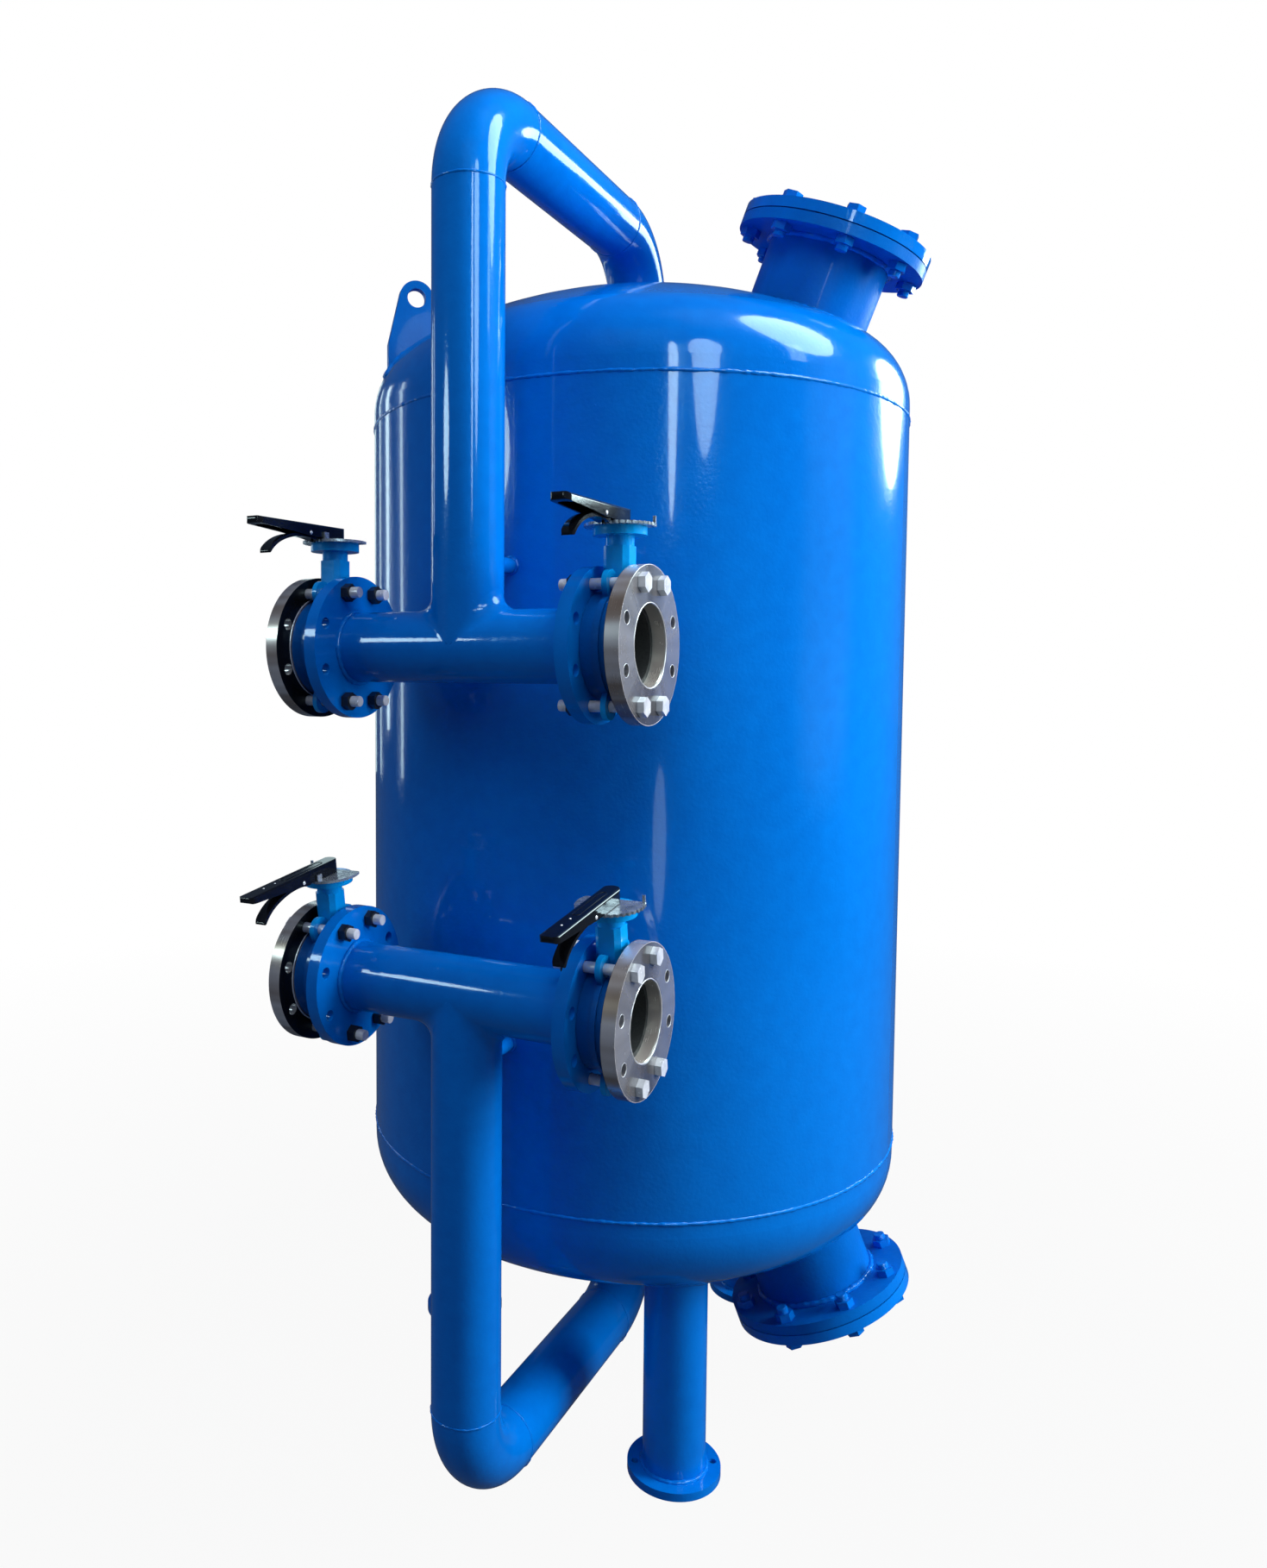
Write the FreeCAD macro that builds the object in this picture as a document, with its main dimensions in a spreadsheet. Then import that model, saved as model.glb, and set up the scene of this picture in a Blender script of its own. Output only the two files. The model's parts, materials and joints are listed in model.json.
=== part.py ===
import FreeCAD
import Part
import Sketcher
import os
from math import atan2, cos, radians, sin, sqrt

# Sand filter: a dished steel vessel on three legs, with a two-header valve manifold in front.
# The vessel axis is the Z axis, the floor is z = 0 and the manifold stands on the -Y side.

doc = FreeCAD.newDocument("SandFilter")
sheet = doc.addObject("Spreadsheet::Sheet", "Dimensions")
Vector = FreeCAD.Vector
Rotation = FreeCAD.Rotation

# Driving dimensions in millimetres and degrees, one alias for each cell
DIMENSIONS = {
    # Vessel
    "vessel_radius": 506,
    "vessel_wall": 6,
    "seam_low": 505,
    "seam_high": 1830,
    "crown_radius": 910,
    "knuckle_radius": 125,
    "straight_edge": 25,
    # Manifold pipe and flanges
    "pipe_radius": 54,
    "pipe_wall": 4,
    "manifold_gap": 128,
    "manifold_reach": "=vessel_radius + manifold_gap",
    "header_high": 1410,
    "header_low": 890,
    "lower_lean": 7.5,
    "crossover_high": 2195,
    "crossover_low": 120,
    "bend_radius": 120,
    "header_half": 218,
    "flange_radius": 110,
    "flange_depth": 20,
    "flange_circle": 90,
    "flange_hole": 9,
    "counter_depth": 21,
    "counter_bore": 58,
    # Wafer valves
    "valve_gap": 52,
    "body_radius": 76,
    "body_bore": 58,
    "liner_bore": 50.5,
    "lip_radius": 68,
    "lip_depth": 3,
    "rib_radius": 80,
    "rib_depth": 8,
    "eye_radius": 19,
    "neck_side": 38,
    "neck_top": 150,
    "neck_collar": 14,
    "pad_radius": 37.5,
    "pad_depth": 12,
    "plate_depth": 4,
    "plate_radius": 50,
    "stem_radius": 8,
    "stem_play": 0.05,
    "disc_radius": 50,
    "disc_depth": 9,
    "lever_top": 187,
    "lever_base": 167,
    "lever_length": 193,
    "lever_width": 28,
    "lever_wall": 3,
    "lever_drop": 3,
    "lever_nose": 17,
    "lever_tip": 6,
    "lever_rise": 3,
    "lever_edge": 4,
    "lever_over": 2,
    "lever_hub": 24,
    "lever_end": 12,
    "lever_slack": 1.5,
    "pivot_out": 76,
    "pivot_height": 172,
    "pivot_radius": 2.5,
    "trigger_width": 19,
    "trigger_thick": 5,
    "trigger_start": 55,
    "trigger_lift": 5,
    "grip_reach": 90,
    "grip_drop": 34,
    "tooth_width": 3,
    "tooth_depth": 8,
    "tooth_gap": 0.7,
    "bolt_radius": 8,
    "bolt_head": 13.9,
    "bolt_end": 14,
    "bolt_head_depth": 10,
    "nut_depth": 13,
    # Hand holes
    "hatch_tilt": 21,
    "hatch_reach_high": 129,
    "hatch_reach_low": 144,
    "hatch_turn_high": 2.4,
    "hatch_turn_low": 14,
    "hatch_sunk": 60,
    "neck_radius": 109.5,
    "neck_wall": 6,
    "hatch_radius": 170,
    "hatch_depth": 18,
    "hatch_circle": 147.5,
    "hatch_hole": 11,
    "hatch_bolt": 10,
    "hatch_head": 17.3,
    "hatch_head_depth": 12.5,
    "hatch_bolt_end": 9,
    "gasket_depth": 2,
    "gasket_radius": 136,
    # Legs, lugs and stays
    "leg_inset": 141,
    "leg_circle": "=vessel_radius - leg_inset",
    "leg_turn": 36,
    "foot_turn": -8,
    "foot_radius": 80,
    "foot_depth": 14,
    "anchor_reach": 67,
    "anchor_hole": 6,
    "lug_inset": 70,
    "lug_reach": "=vessel_radius - lug_inset",
    "lug_turn": -45,
    "lug_depth": 16,
    "lug_height": 86,
    "lug_foot": 52,
    "lug_nose": 31,
    "lug_eye": 17,
    "stay_radius": 12.5,
    "stay_high": 1540,
    "stay_low": 775,
    # Inside of the vessel
    "tray_height": 562,
    "tray_depth": 12,
    "gravel_depth": 110,
    "sand_depth": 650,
    "nozzle_gap": 300,
    "nozzle_radius": 28,
    "nozzle_depth": 32,
    "spreader_radius": 130,
    "spreader_rise": 160,
    "spreader_rod_in": 30,
    "spreader_rod_length": 200,
}

for row, (alias, value) in enumerate(DIMENSIONS.items(), start=1):
    sheet.set(f"A{row}", alias)
    sheet.set(f"B{row}", str(value))
    sheet.setAlias(f"B{row}", alias)
doc.recompute()

nodes = []


def size(alias):
    return float(sheet.get(alias))


def bound(text):
    # Puts the sheet's name before each alias in an expression
    words = []
    word = ""
    for letter in text + " ":
        if letter.isalnum() or letter == "_":
            word += letter
            continue
        words.append("Dimensions." + word if word in DIMENSIONS else word)
        words.append(letter)
        word = ""
    return "".join(words).strip()


def worked_out(text):
    # The number that an expression of aliases comes to
    return float(doc.Dimensions.evalExpression(bound(text)))


def bind(piece, **expressions):
    for name, text in expressions.items():
        piece.setExpression(name, bound(text))


def move(piece, x="0", y="0", z="0"):
    for axis, text in zip("xyz", (x, y, z)):
        piece.setExpression("Placement.Base." + axis, bound(text))
    return piece


TURNS = {
    "x": Rotation(Vector(0, 1, 0), 90),
    "y": Rotation(Vector(1, 0, 0), -90),
    "z": Rotation(),
}


def cylinder(name, radius, height, x="0", y="0", z="0", along="z"):
    piece = doc.addObject("Part::Cylinder", name)
    bind(piece, Radius=radius, Height=height)
    piece.Placement.Rotation = TURNS[along]
    return move(piece, x, y, z)


def box(name, length, width, height, x="0", y="0", z="0"):
    piece = doc.addObject("Part::Box", name)
    bind(piece, Length=length, Width=width, Height=height)
    return move(piece, x, y, z)


def hexagon(name, radius, height, x="0", y="0", z="0", along="z"):
    piece = doc.addObject("Part::Prism", name)
    piece.Polygon = 6
    bind(piece, Circumradius=radius, Height=height)
    piece.Placement.Rotation = TURNS[along]
    return move(piece, x, y, z)


def joined(name, pieces):
    piece = doc.addObject("Part::MultiFuse", name)
    piece.Shapes = pieces
    return piece


def cut(name, base, tools):
    piece = doc.addObject("Part::Cut", name)
    piece.Base = base
    piece.Tool = tools[0] if len(tools) == 1 else joined(name + "Tools", tools)
    return piece


def common(name, pieces):
    piece = doc.addObject("Part::MultiCommon", name)
    piece.Shapes = pieces
    return piece


def group(name, pieces):
    piece = doc.addObject("Part::Compound", name)
    piece.Links = pieces
    return piece


def tube(name, outer, inner, height, x="0", y="0", z="0", along="z"):
    skin = cylinder(name + "Skin", outer, height, x, y, z, along)
    hollow = cylinder(name + "Hollow", inner, height, x, y, z, along)
    return cut(name, skin, [hollow])


def node(piece, label):
    piece.Label = label
    nodes.append(piece)
    return piece


def polar(name, master, count, first=0.0, centre=Vector()):
    # Copies of one piece round the Z axis, each a placed link group
    copies = []
    for number in range(count):
        copy = group(f"{name}{number}", [master])
        turn = Rotation(Vector(0, 0, 1), first + 360.0 * number / count)
        copy.Placement = FreeCAD.Placement(centre, turn)
        copies.append(copy)
    return copies


# Vessel: rolled shell between two dished heads

def dished_solid(name, inset):
    # Half section of a dished head on the XZ plane, turned round the Z axis
    gap = size("vessel_wall") if inset else 0
    minus = " - vessel_wall" if inset else ""
    radius = size("vessel_radius") - gap
    knuckle = size("knuckle_radius") - gap
    crown = size("crown_radius") - gap
    edge = size("straight_edge")
    reach = radius - knuckle
    drop = sqrt((crown - knuckle) ** 2 - reach ** 2)
    joint = atan2(drop, reach)
    sketch = doc.addObject("Sketcher::SketchObject", name + "Outline")
    sketch.Placement = FreeCAD.Placement(Vector(), Rotation(Vector(1, 0, 0), 90))
    up = Vector(0, 0, 1)
    base = sketch.addGeometry(Part.LineSegment(Vector(), Vector(radius, 0, 0)))
    side = sketch.addGeometry(Part.LineSegment(Vector(radius, 0, 0), Vector(radius, edge, 0)))
    corner = Part.Circle(Vector(reach, edge, 0), up, knuckle)
    knuckle_arc = sketch.addGeometry(Part.ArcOfCircle(corner, 0, joint))
    dome = Part.Circle(Vector(0, edge - drop, 0), up, crown)
    crown_arc = sketch.addGeometry(Part.ArcOfCircle(dome, joint, radians(90)))
    peak = Vector(0, edge - drop + crown, 0)
    axis = sketch.addGeometry(Part.LineSegment(peak, Vector()))
    rule = Sketcher.Constraint
    sketch.addConstraint(rule("Coincident", base, 1, -1, 1))
    sketch.addConstraint(rule("Horizontal", base))
    sketch.addConstraint(rule("Coincident", base, 2, side, 1))
    sketch.addConstraint(rule("Vertical", side))
    sketch.addConstraint(rule("Tangent", side, 2, knuckle_arc, 1))
    sketch.addConstraint(rule("Tangent", knuckle_arc, 2, crown_arc, 1))
    sketch.addConstraint(rule("Coincident", crown_arc, 2, axis, 1))
    sketch.addConstraint(rule("Coincident", axis, 2, -1, 1))
    sketch.addConstraint(rule("Vertical", axis))
    sketch.addConstraint(rule("PointOnObject", crown_arc, 3, -2))
    measures = (
        (rule("DistanceX", -1, 1, base, 2, radius), "vessel_radius" + minus),
        (rule("DistanceY", side, 1, side, 2, edge), "straight_edge"),
        (rule("Radius", knuckle_arc, knuckle), "knuckle_radius" + minus),
        (rule("Radius", crown_arc, crown), "crown_radius" + minus),
    )
    for constraint, text in measures:
        index = sketch.addConstraint(constraint)
        sketch.setExpression(f"Constraints[{index}]", bound(text))
    solid = doc.addObject("Part::Revolution", name)
    solid.Source = sketch
    solid.Axis = up
    solid.Angle = 360
    solid.Solid = True
    return solid


def head_height():
    reach = size("vessel_radius") - size("knuckle_radius")
    slant = size("crown_radius") - size("knuckle_radius")
    return size("straight_edge") + size("crown_radius") - sqrt(slant ** 2 - reach ** 2)


HEAD_RISE = "(straight_edge + crown_radius - sqrt((crown_radius - knuckle_radius)^2" \
            " - (vessel_radius - knuckle_radius)^2))"
outer_dish = dished_solid("OuterDish", False)
inner_dish = dished_solid("InnerDish", True)


def placed_head(name, dish, seam, over):
    head = group(name, [dish])
    head.Placement.Rotation = Rotation() if over else Rotation(Vector(1, 0, 0), 180)
    return move(head, z=seam)


top_outer = placed_head("TopOuter", outer_dish, "seam_high", True)
top_inner = placed_head("TopInner", inner_dish, "seam_high", True)
low_outer = placed_head("LowOuter", outer_dish, "seam_low", False)
low_inner = placed_head("LowInner", inner_dish, "seam_low", False)


def hatch_frame(over):
    # Place on the hand hole's axis at the crown sphere's centre, with Z out along the axis
    tilt = size("hatch_tilt")
    sphere = size("crown_radius")
    if over:
        height = size("seam_high") + head_height() - sphere
        lean = Rotation(Vector(0, 1, 0), tilt)
        around = size("hatch_turn_high")
    else:
        height = size("seam_low") - head_height() + sphere
        lean = Rotation(Vector(0, 1, 0), 180 - tilt)
        around = size("hatch_turn_low")
    return FreeCAD.Placement(Vector(0, 0, height), Rotation(Vector(0, 0, 1), around) * lean)


def hatch(over):
    word = "upper" if over else "lower"
    name = word.capitalize() + "Hatch"
    frame = hatch_frame(over)
    reach = "hatch_reach_high" if over else "hatch_reach_low"
    seam = "crown_radius + " + reach
    underside = seam + " - gasket_depth / 2 - hatch_depth"
    pieces = {}

    def placed(label, piece):
        copy = group(name + label, [piece])
        copy.Placement = frame
        return copy

    start = "crown_radius - hatch_sunk"
    pipe = tube(name + "Pipe", "neck_radius", "neck_radius - neck_wall",
                reach + " + hatch_sunk - gasket_depth / 2", z=start)
    ring = tube(name + "Ring", "hatch_radius", "neck_radius", "hatch_depth", z=underside)
    hole = cylinder(name + "Hole", "hatch_hole", "hatch_depth", x="hatch_circle", z=underside)
    holes = polar(name + "Holes", hole, 8, 22.5)
    neck = cut(name + "Neck", joined(name + "NeckBlank", [pipe, ring]), holes)
    neck = placed("NeckPlaced", neck)
    pieces["neck"] = cut(name + "NeckTrim", neck, [top_inner if over else low_inner])
    gasket = tube(name + "Gasket", "gasket_radius", "neck_radius", "gasket_depth",
                  z=seam + " - gasket_depth / 2")
    pieces["gasket"] = placed("GasketPlaced", gasket)
    top = seam + " + gasket_depth / 2"
    lid = cylinder(name + "Lid", "hatch_radius", "hatch_depth", z=top)
    lid_hole = cylinder(name + "LidHole", "hatch_hole", "hatch_depth", x="hatch_circle", z=top)
    lid = cut(name + "LidCut", lid, polar(name + "LidHoles", lid_hole, 8, 22.5))
    pieces["cover"] = placed("Cover", lid)
    grip = "2 * hatch_depth + gasket_depth"
    shank = cylinder(name + "Shank", "hatch_bolt", grip + " + nut_depth + hatch_bolt_end",
                     x="hatch_circle", z=underside + " - nut_depth - hatch_bolt_end")
    head = hexagon(name + "Head", "hatch_head", "hatch_head_depth",
                   x="hatch_circle", z=top + " + hatch_depth")
    bolt = joined(name + "Bolt", [shank, head])
    pieces["bolts"] = placed("Bolts", group(name + "BoltRing", polar(name + "BoltAt", bolt, 8, 22.5)))
    nut = hexagon(name + "NutBlank", "hatch_head", "nut_depth", x="hatch_circle",
                  z=underside + " - nut_depth")
    thread = cylinder(name + "Thread", "hatch_bolt", "nut_depth", x="hatch_circle",
                      z=underside + " - nut_depth")
    nut = cut(name + "Nut", nut, [thread])
    pieces["nuts"] = placed("Nuts", group(name + "NutRing", polar(name + "NutAt", nut, 8, 22.5)))
    drill = cylinder(name + "Drill", "neck_radius", "200", z="crown_radius - 100")
    pieces["drill"] = placed("DrillPlaced", drill)
    return pieces


upper_hatch = hatch(True)
lower_hatch = hatch(False)


def vessel():
    shell = tube("Shell", "vessel_radius", "vessel_radius - vessel_wall",
                 "seam_high - seam_low", z="seam_low")
    node(shell, "shell")
    for name, outer, inner, parts, floor in (
        ("top_head", top_outer, top_inner, upper_hatch, "seam_high"),
        ("bottom_head", low_outer, low_inner, lower_hatch, "seam_low - 400"),
    ):
        port = cylinder(name + "Port", "pipe_radius + 0.05", "400", z=floor)
        head = cut(name + "Cut", outer, [inner, port, parts["drill"]])
        node(head, name)


def hatches():
    for word, parts in (("upper", upper_hatch), ("lower", lower_hatch)):
        for label in ("neck", "gasket", "cover"):
            node(parts[label], f"{word}_hatch_{label}")
    node(group("HatchBolts", [upper_hatch["bolts"], lower_hatch["bolts"]]), "hatch_bolts")
    node(group("HatchNuts", [upper_hatch["nuts"], lower_hatch["nuts"]]), "hatch_nuts")


# Manifold: two headers with risers that bend over to the vessel axis

def riser(word, header, bend, over):
    name = word.capitalize()
    low = header if over else bend
    height = f"{bend} - {header}" if over else f"{header} - {bend}"
    pipe = tube(name + "RiserPipe", "pipe_radius", "pipe_radius - pipe_wall", height,
                y="-manifold_reach", z=low)
    saddle = cylinder(name + "Saddle", "pipe_radius", "400", x="-200", y="-manifold_reach",
                      z=header, along="x")
    node(cut(name + "Riser", pipe, [saddle]), f"{word}_riser")


def bend(name, label, y, z, first, second):
    # Quarter torus whose ends point along the two given directions
    parts = []
    for part, radius in (("Skin", "pipe_radius"), ("Hollow", "pipe_radius - pipe_wall")):
        ring = doc.addObject("Part::Torus", name + part)
        bind(ring, Radius1="bend_radius", Radius2=radius)
        ring.Angle3 = 90
        turn = Rotation(first, second, first.cross(second), "XYZ")
        ring.Placement.Rotation = turn
        move(ring, y=y, z=z)
        parts.append(ring)
    node(cut(name, parts[0], parts[1:]), label)


def branch(word, header, crossover, over):
    name = word.capitalize()
    up = Vector(0, 0, 1) if over else Vector(0, 0, -1)
    centre = f"{crossover} - bend_radius" if over else f"{crossover} + bend_radius"
    riser(word, header, f"({centre})", over)
    bend(name + "FrontBend", f"{word}_front_bend", "bend_radius - manifold_reach", centre,
         Vector(0, -1, 0), up)
    crossover_pipe = tube(name + "Crossover", "pipe_radius", "pipe_radius - pipe_wall",
                          "manifold_reach - 2 * bend_radius", y="bend_radius - manifold_reach",
                          z=crossover, along="y")
    node(crossover_pipe, f"{word}_crossover")
    bend(name + "RearBend", f"{word}_rear_bend", "-bend_radius", centre, Vector(0, 1, 0), up)


def flange_hole_places():
    # Eight holes that straddle the vertical, as angles from the Z axis
    return [22.5 + 45 * number for number in range(8)]


def header(word, height, over):
    name = word.capitalize() + "Header"
    reach = "-manifold_reach"
    lean = "0" if over else "lower_lean"
    pipe = cylinder(name + "Pipe", "pipe_radius", "2 * header_half", x="-header_half", y=reach,
                    z=height, along="x")
    rings = []
    for side, start in (("Left", "-header_half"), ("Right", "header_half - flange_depth")):
        rings.append(cylinder(name + side, "flange_radius", "flange_depth", x=start, y=reach,
                              z=height, along="x"))
    bore = cylinder(name + "Bore", "pipe_radius - pipe_wall", "2 * header_half",
                    x="-header_half", y=reach, z=height, along="x")
    tee = cylinder(name + "Tee", "pipe_radius - pipe_wall", "pipe_radius", y=reach,
                   z=height if over else height + " - pipe_radius")
    tools = [bore, tee]
    for number, angle in enumerate(flange_hole_places()):
        tools.append(cylinder(
            f"{name}Hole{number}", "flange_hole", "2 * header_half", x="-header_half",
            y=f"flange_circle * sin({angle} - {lean}) - manifold_reach",
            z=f"{height} + flange_circle * cos({angle} - {lean})", along="x"))
    node(cut(name, joined(name + "Blank", [pipe] + rings), tools), f"{word}_header")


def stays():
    rods = []
    for label, height in (("High", "stay_high"), ("Low", "stay_low")):
        rods.append(cylinder("Stay" + label, "stay_radius", "manifold_reach - vessel_radius + 30",
                             y="-manifold_reach", z=height, along="y"))
    pipe = cylinder("StayPipe", "pipe_radius", "1200", y="-manifold_reach", z="500")
    shell = cylinder("StayShell", "vessel_radius", "1200", z="500")
    node(cut("Stays", group("StayRods", rods), [pipe, shell]), "riser_stays")


# Legs, round feet and lifting lugs

def legs():
    rise = "seam_low - foot_depth - 40"
    blank = tube("LegBlank", "pipe_radius", "pipe_radius - pipe_wall", rise, y="-leg_circle",
                 z="foot_depth")
    leg = cut("Leg", blank, [low_outer])
    disc = cylinder("FootDisc", "foot_radius", "foot_depth", y="-leg_circle")
    anchors = []
    for number, side in enumerate(("", "-")):
        anchors.append(cylinder(
            f"Anchor{number}", "anchor_hole", "foot_depth", x=side + "anchor_reach * cos(foot_turn)",
            y=side + "anchor_reach * sin(foot_turn) - leg_circle"))
    foot = cut("Foot", disc, anchors)
    for number, word in enumerate(("front", "rear", "left")):
        turn = f"leg_turn + {120 * number}"
        for label, master in (("leg", leg), ("foot", foot)):
            copy = group(word.capitalize() + label.capitalize(), [master])
            copy.setExpression("Placement.Rotation.Angle", bound(turn))
            node(copy, f"{word}_{label}")


def lug_blank():
    # Tapered plate with a round nose, drawn across the lug's radial plane
    sketch = doc.addObject("Sketcher::SketchObject", "LugOutline")
    sketch.Placement = FreeCAD.Placement(Vector(), Rotation(Vector(1, 0, 0), 90))
    foot, nose, rise = size("lug_foot"), size("lug_nose"), size("lug_height")
    depth = 70.0
    lean = atan2(foot - nose, rise)
    up = Vector(0, 0, 1)
    circle = Part.Circle(Vector(0, rise, 0), up, nose)
    arc = sketch.addGeometry(Part.ArcOfCircle(circle, lean, radians(180) - lean))
    right = Vector(nose * cos(lean), rise + nose * sin(lean), 0)
    left = Vector(-right.x, right.y, 0)
    corners = [left, Vector(-foot, 0, 0), Vector(-foot, -depth, 0), Vector(foot, -depth, 0),
               Vector(foot, 0, 0), right]
    lines = []
    for start, end in zip(corners, corners[1:]):
        lines.append(sketch.addGeometry(Part.LineSegment(start, end)))
    rule = Sketcher.Constraint
    for first, second in zip(lines, lines[1:]):
        sketch.addConstraint(rule("Coincident", first, 2, second, 1))
    sketch.addConstraint(rule("Tangent", arc, 2, lines[0], 1))
    sketch.addConstraint(rule("Tangent", lines[-1], 2, arc, 1))
    sketch.addConstraint(rule("PointOnObject", arc, 3, -2))
    for line in (lines[1], lines[3]):
        sketch.addConstraint(rule("Vertical", line))
    sketch.addConstraint(rule("Horizontal", lines[2]))
    measures = (
        (rule("Radius", arc, nose), "lug_nose"),
        (rule("DistanceY", -1, 1, arc, 3, rise), "lug_height"),
        (rule("DistanceX", -1, 1, lines[3], 2, foot), "lug_foot"),
        (rule("DistanceX", lines[0], 2, -1, 1, foot), "lug_foot"),
        (rule("DistanceY", lines[1], 2, lines[1], 1, depth), "70"),
    )
    sketch.addConstraint(rule("PointOnObject", lines[0], 2, -1))
    sketch.addConstraint(rule("PointOnObject", lines[3], 2, -1))
    for constraint, text in measures:
        index = sketch.addConstraint(constraint)
        sketch.setExpression(f"Constraints[{index}]", bound(text))
    plate = doc.addObject("Part::Extrusion", "LugPlate")
    plate.Base = sketch
    plate.DirMode = "Normal"
    plate.Solid = True
    plate.Symmetric = True
    bind(plate, LengthFwd="lug_depth")
    eye = cylinder("LugEye", "lug_eye", "2 * lug_depth", y="-lug_depth", z="lug_height", along="y")
    return cut("LugBlank", plate, [eye])


def lugs():
    blank = lug_blank()
    fall = "(crown_radius - sqrt(crown_radius^2 - lug_reach^2))"
    raised = group("LugRaised", [blank])
    move(raised, x="lug_reach", z=f"seam_high + {HEAD_RISE} - {fall}")
    for word, extra in (("left", 0), ("right", 180)):
        # The plate stands in the vertical plane through the vessel axis
        copy = group("Lug" + word.capitalize(), [raised])
        copy.setExpression("Placement.Rotation.Angle", bound(f"lug_turn - 90 + {extra}"))
        node(cut("LugTrim" + word.capitalize(), copy, [top_outer]), f"{word}_lifting_lug")


# Inside: nozzle tray, gravel, sand and the inlet spreader

def bed():
    inside = "vessel_radius - vessel_wall"
    tray = cylinder("TrayDisc", inside, "tray_depth", z="tray_height")
    hole = cylinder("TrayHole", "nozzle_radius / 2", "tray_depth", x="nozzle_gap", z="tray_height")
    centre = cylinder("TrayCentre", "nozzle_radius / 2", "tray_depth", z="tray_height")
    node(cut("Tray", tray, [centre] + polar("TrayHoles", hole, 6)), "nozzle_tray")
    nozzles = []
    for label, reach in (("Outer", "nozzle_gap"), ("Centre", "0")):
        tail = cylinder(label + "Tail", "nozzle_radius / 2", "tray_depth + 40", x=reach,
                        z="tray_height - 40")
        cap = cylinder(label + "Cap", "nozzle_radius", "nozzle_depth", x=reach,
                       z="tray_height + tray_depth")
        nozzles.append(joined(label + "Nozzle", [tail, cap]))
    ring = polar("NozzleRing", nozzles[0], 6)
    node(group("Nozzles", ring + [nozzles[1]]), "filter_nozzles")
    gravel_floor = "tray_height + tray_depth + nozzle_depth"
    node(cylinder("Gravel", inside, "gravel_depth", z=gravel_floor), "gravel_bed")
    node(cylinder("Sand", inside, "sand_depth", z=gravel_floor + " + gravel_depth"), "sand_bed")


def spreader():
    # It hangs in the top head, so its height is counted from the upper seam
    height = "seam_high + spreader_rise"
    plate = cylinder("SpreaderPlate", "spreader_radius", "pipe_wall", z=height)
    rod = cylinder("SpreaderRod", "pipe_wall", "spreader_rod_length",
                   x="spreader_radius - spreader_rod_in", z=height)
    rods = common("SpreaderRods", [group("SpreaderRodRing", polar("SpreaderRodAt", rod, 3, 30)),
                                   top_inner])
    node(joined("Spreader", [plate, rods]), "inlet_spreader")


# Wafer valve pieces, drawn round the valve's own centre with the pipe along X

def valve_body():
    half = "(valve_gap / 2 - 1)"
    ring = cylinder("BodyRing", "body_radius", f"2 * {half}", x=f"-{half}", along="x")
    rib = cylinder("BodyRib", "rib_radius", "rib_depth", x="-rib_depth / 2", along="x")
    solids = [ring, rib]
    tools = [cylinder("BodyBore", "body_bore", "valve_gap", x="-valve_gap / 2", along="x")]
    for side, start in (("Left", "-valve_gap / 2"), ("Right", "valve_gap / 2 - lip_depth")):
        tools.append(cylinder("BodyLip" + side, "lip_radius", "lip_depth", x=start, along="x"))
    for number, angle in enumerate((22.5, 157.5, 202.5, 337.5)):
        y = f"flange_circle * sin({angle})"
        z = f"flange_circle * cos({angle})"
        solids.append(cylinder(f"Eye{number}", "eye_radius", "rib_depth", x="-rib_depth / 2",
                               y=y, z=z, along="x"))
        web = box(f"EyeWeb{number}", "rib_depth", "2 * eye_radius", "flange_circle - body_bore - 8",
                  x="-rib_depth / 2", y="-eye_radius", z="body_bore + 8")
        strap = group(f"EyeStrap{number}", [web])
        strap.Placement.Rotation = Rotation(Vector(1, 0, 0), -angle)
        solids.append(strap)
        tools.append(cylinder(f"EyeHole{number}", "flange_hole", "rib_depth", x="-rib_depth / 2",
                              y=y, z=z, along="x"))
    side = "neck_side"
    neck = box("NeckBlock", side, side, "neck_top - neck_collar - body_bore - 8", x=f"-{side} / 2",
               y=f"-{side} / 2", z="body_bore + 8")
    chamfer = doc.addObject("Part::Chamfer", "NeckChamfer")
    chamfer.Base = neck
    doc.recompute()
    upright = []
    for number, edge in enumerate(neck.Shape.Edges, start=1):
        if abs(edge.tangentAt(edge.FirstParameter).z) > 0.9:
            upright.append((number, 7.0, 7.0))
    chamfer.Edges = upright
    solids.append(chamfer)
    solids.append(cylinder("NeckPad", "pad_radius", "pad_depth", z="neck_top"))
    solids.append(cylinder("NeckCollar", "neck_side * 0.52", "neck_collar", z="neck_top - neck_collar"))
    solids.append(cylinder("FootBoss", "neck_side * 0.45", "20", z="-body_radius - 9"))
    tools.append(cylinder("StemBore", "stem_radius + stem_play", "neck_top + pad_depth + 72",
                          z="-72"))
    return cut("ValveBody", joined("ValveBodyBlank", solids), tools)


def valve_liner():
    sleeve = cylinder("LinerSleeve", "body_bore", "valve_gap", x="-valve_gap / 2", along="x")
    lips = []
    for side, start in (("Left", "-valve_gap / 2"), ("Right", "valve_gap / 2 - lip_depth")):
        lips.append(cylinder("LinerLip" + side, "lip_radius", "lip_depth", x=start, along="x"))
    bore = cylinder("LinerBore", "liner_bore", "valve_gap", x="-valve_gap / 2", along="x")
    stem = cylinder("LinerStem", "stem_radius + stem_play", "200", z="-100")
    return cut("ValveLiner", joined("LinerBlank", [sleeve] + lips), [bore, stem])


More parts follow.
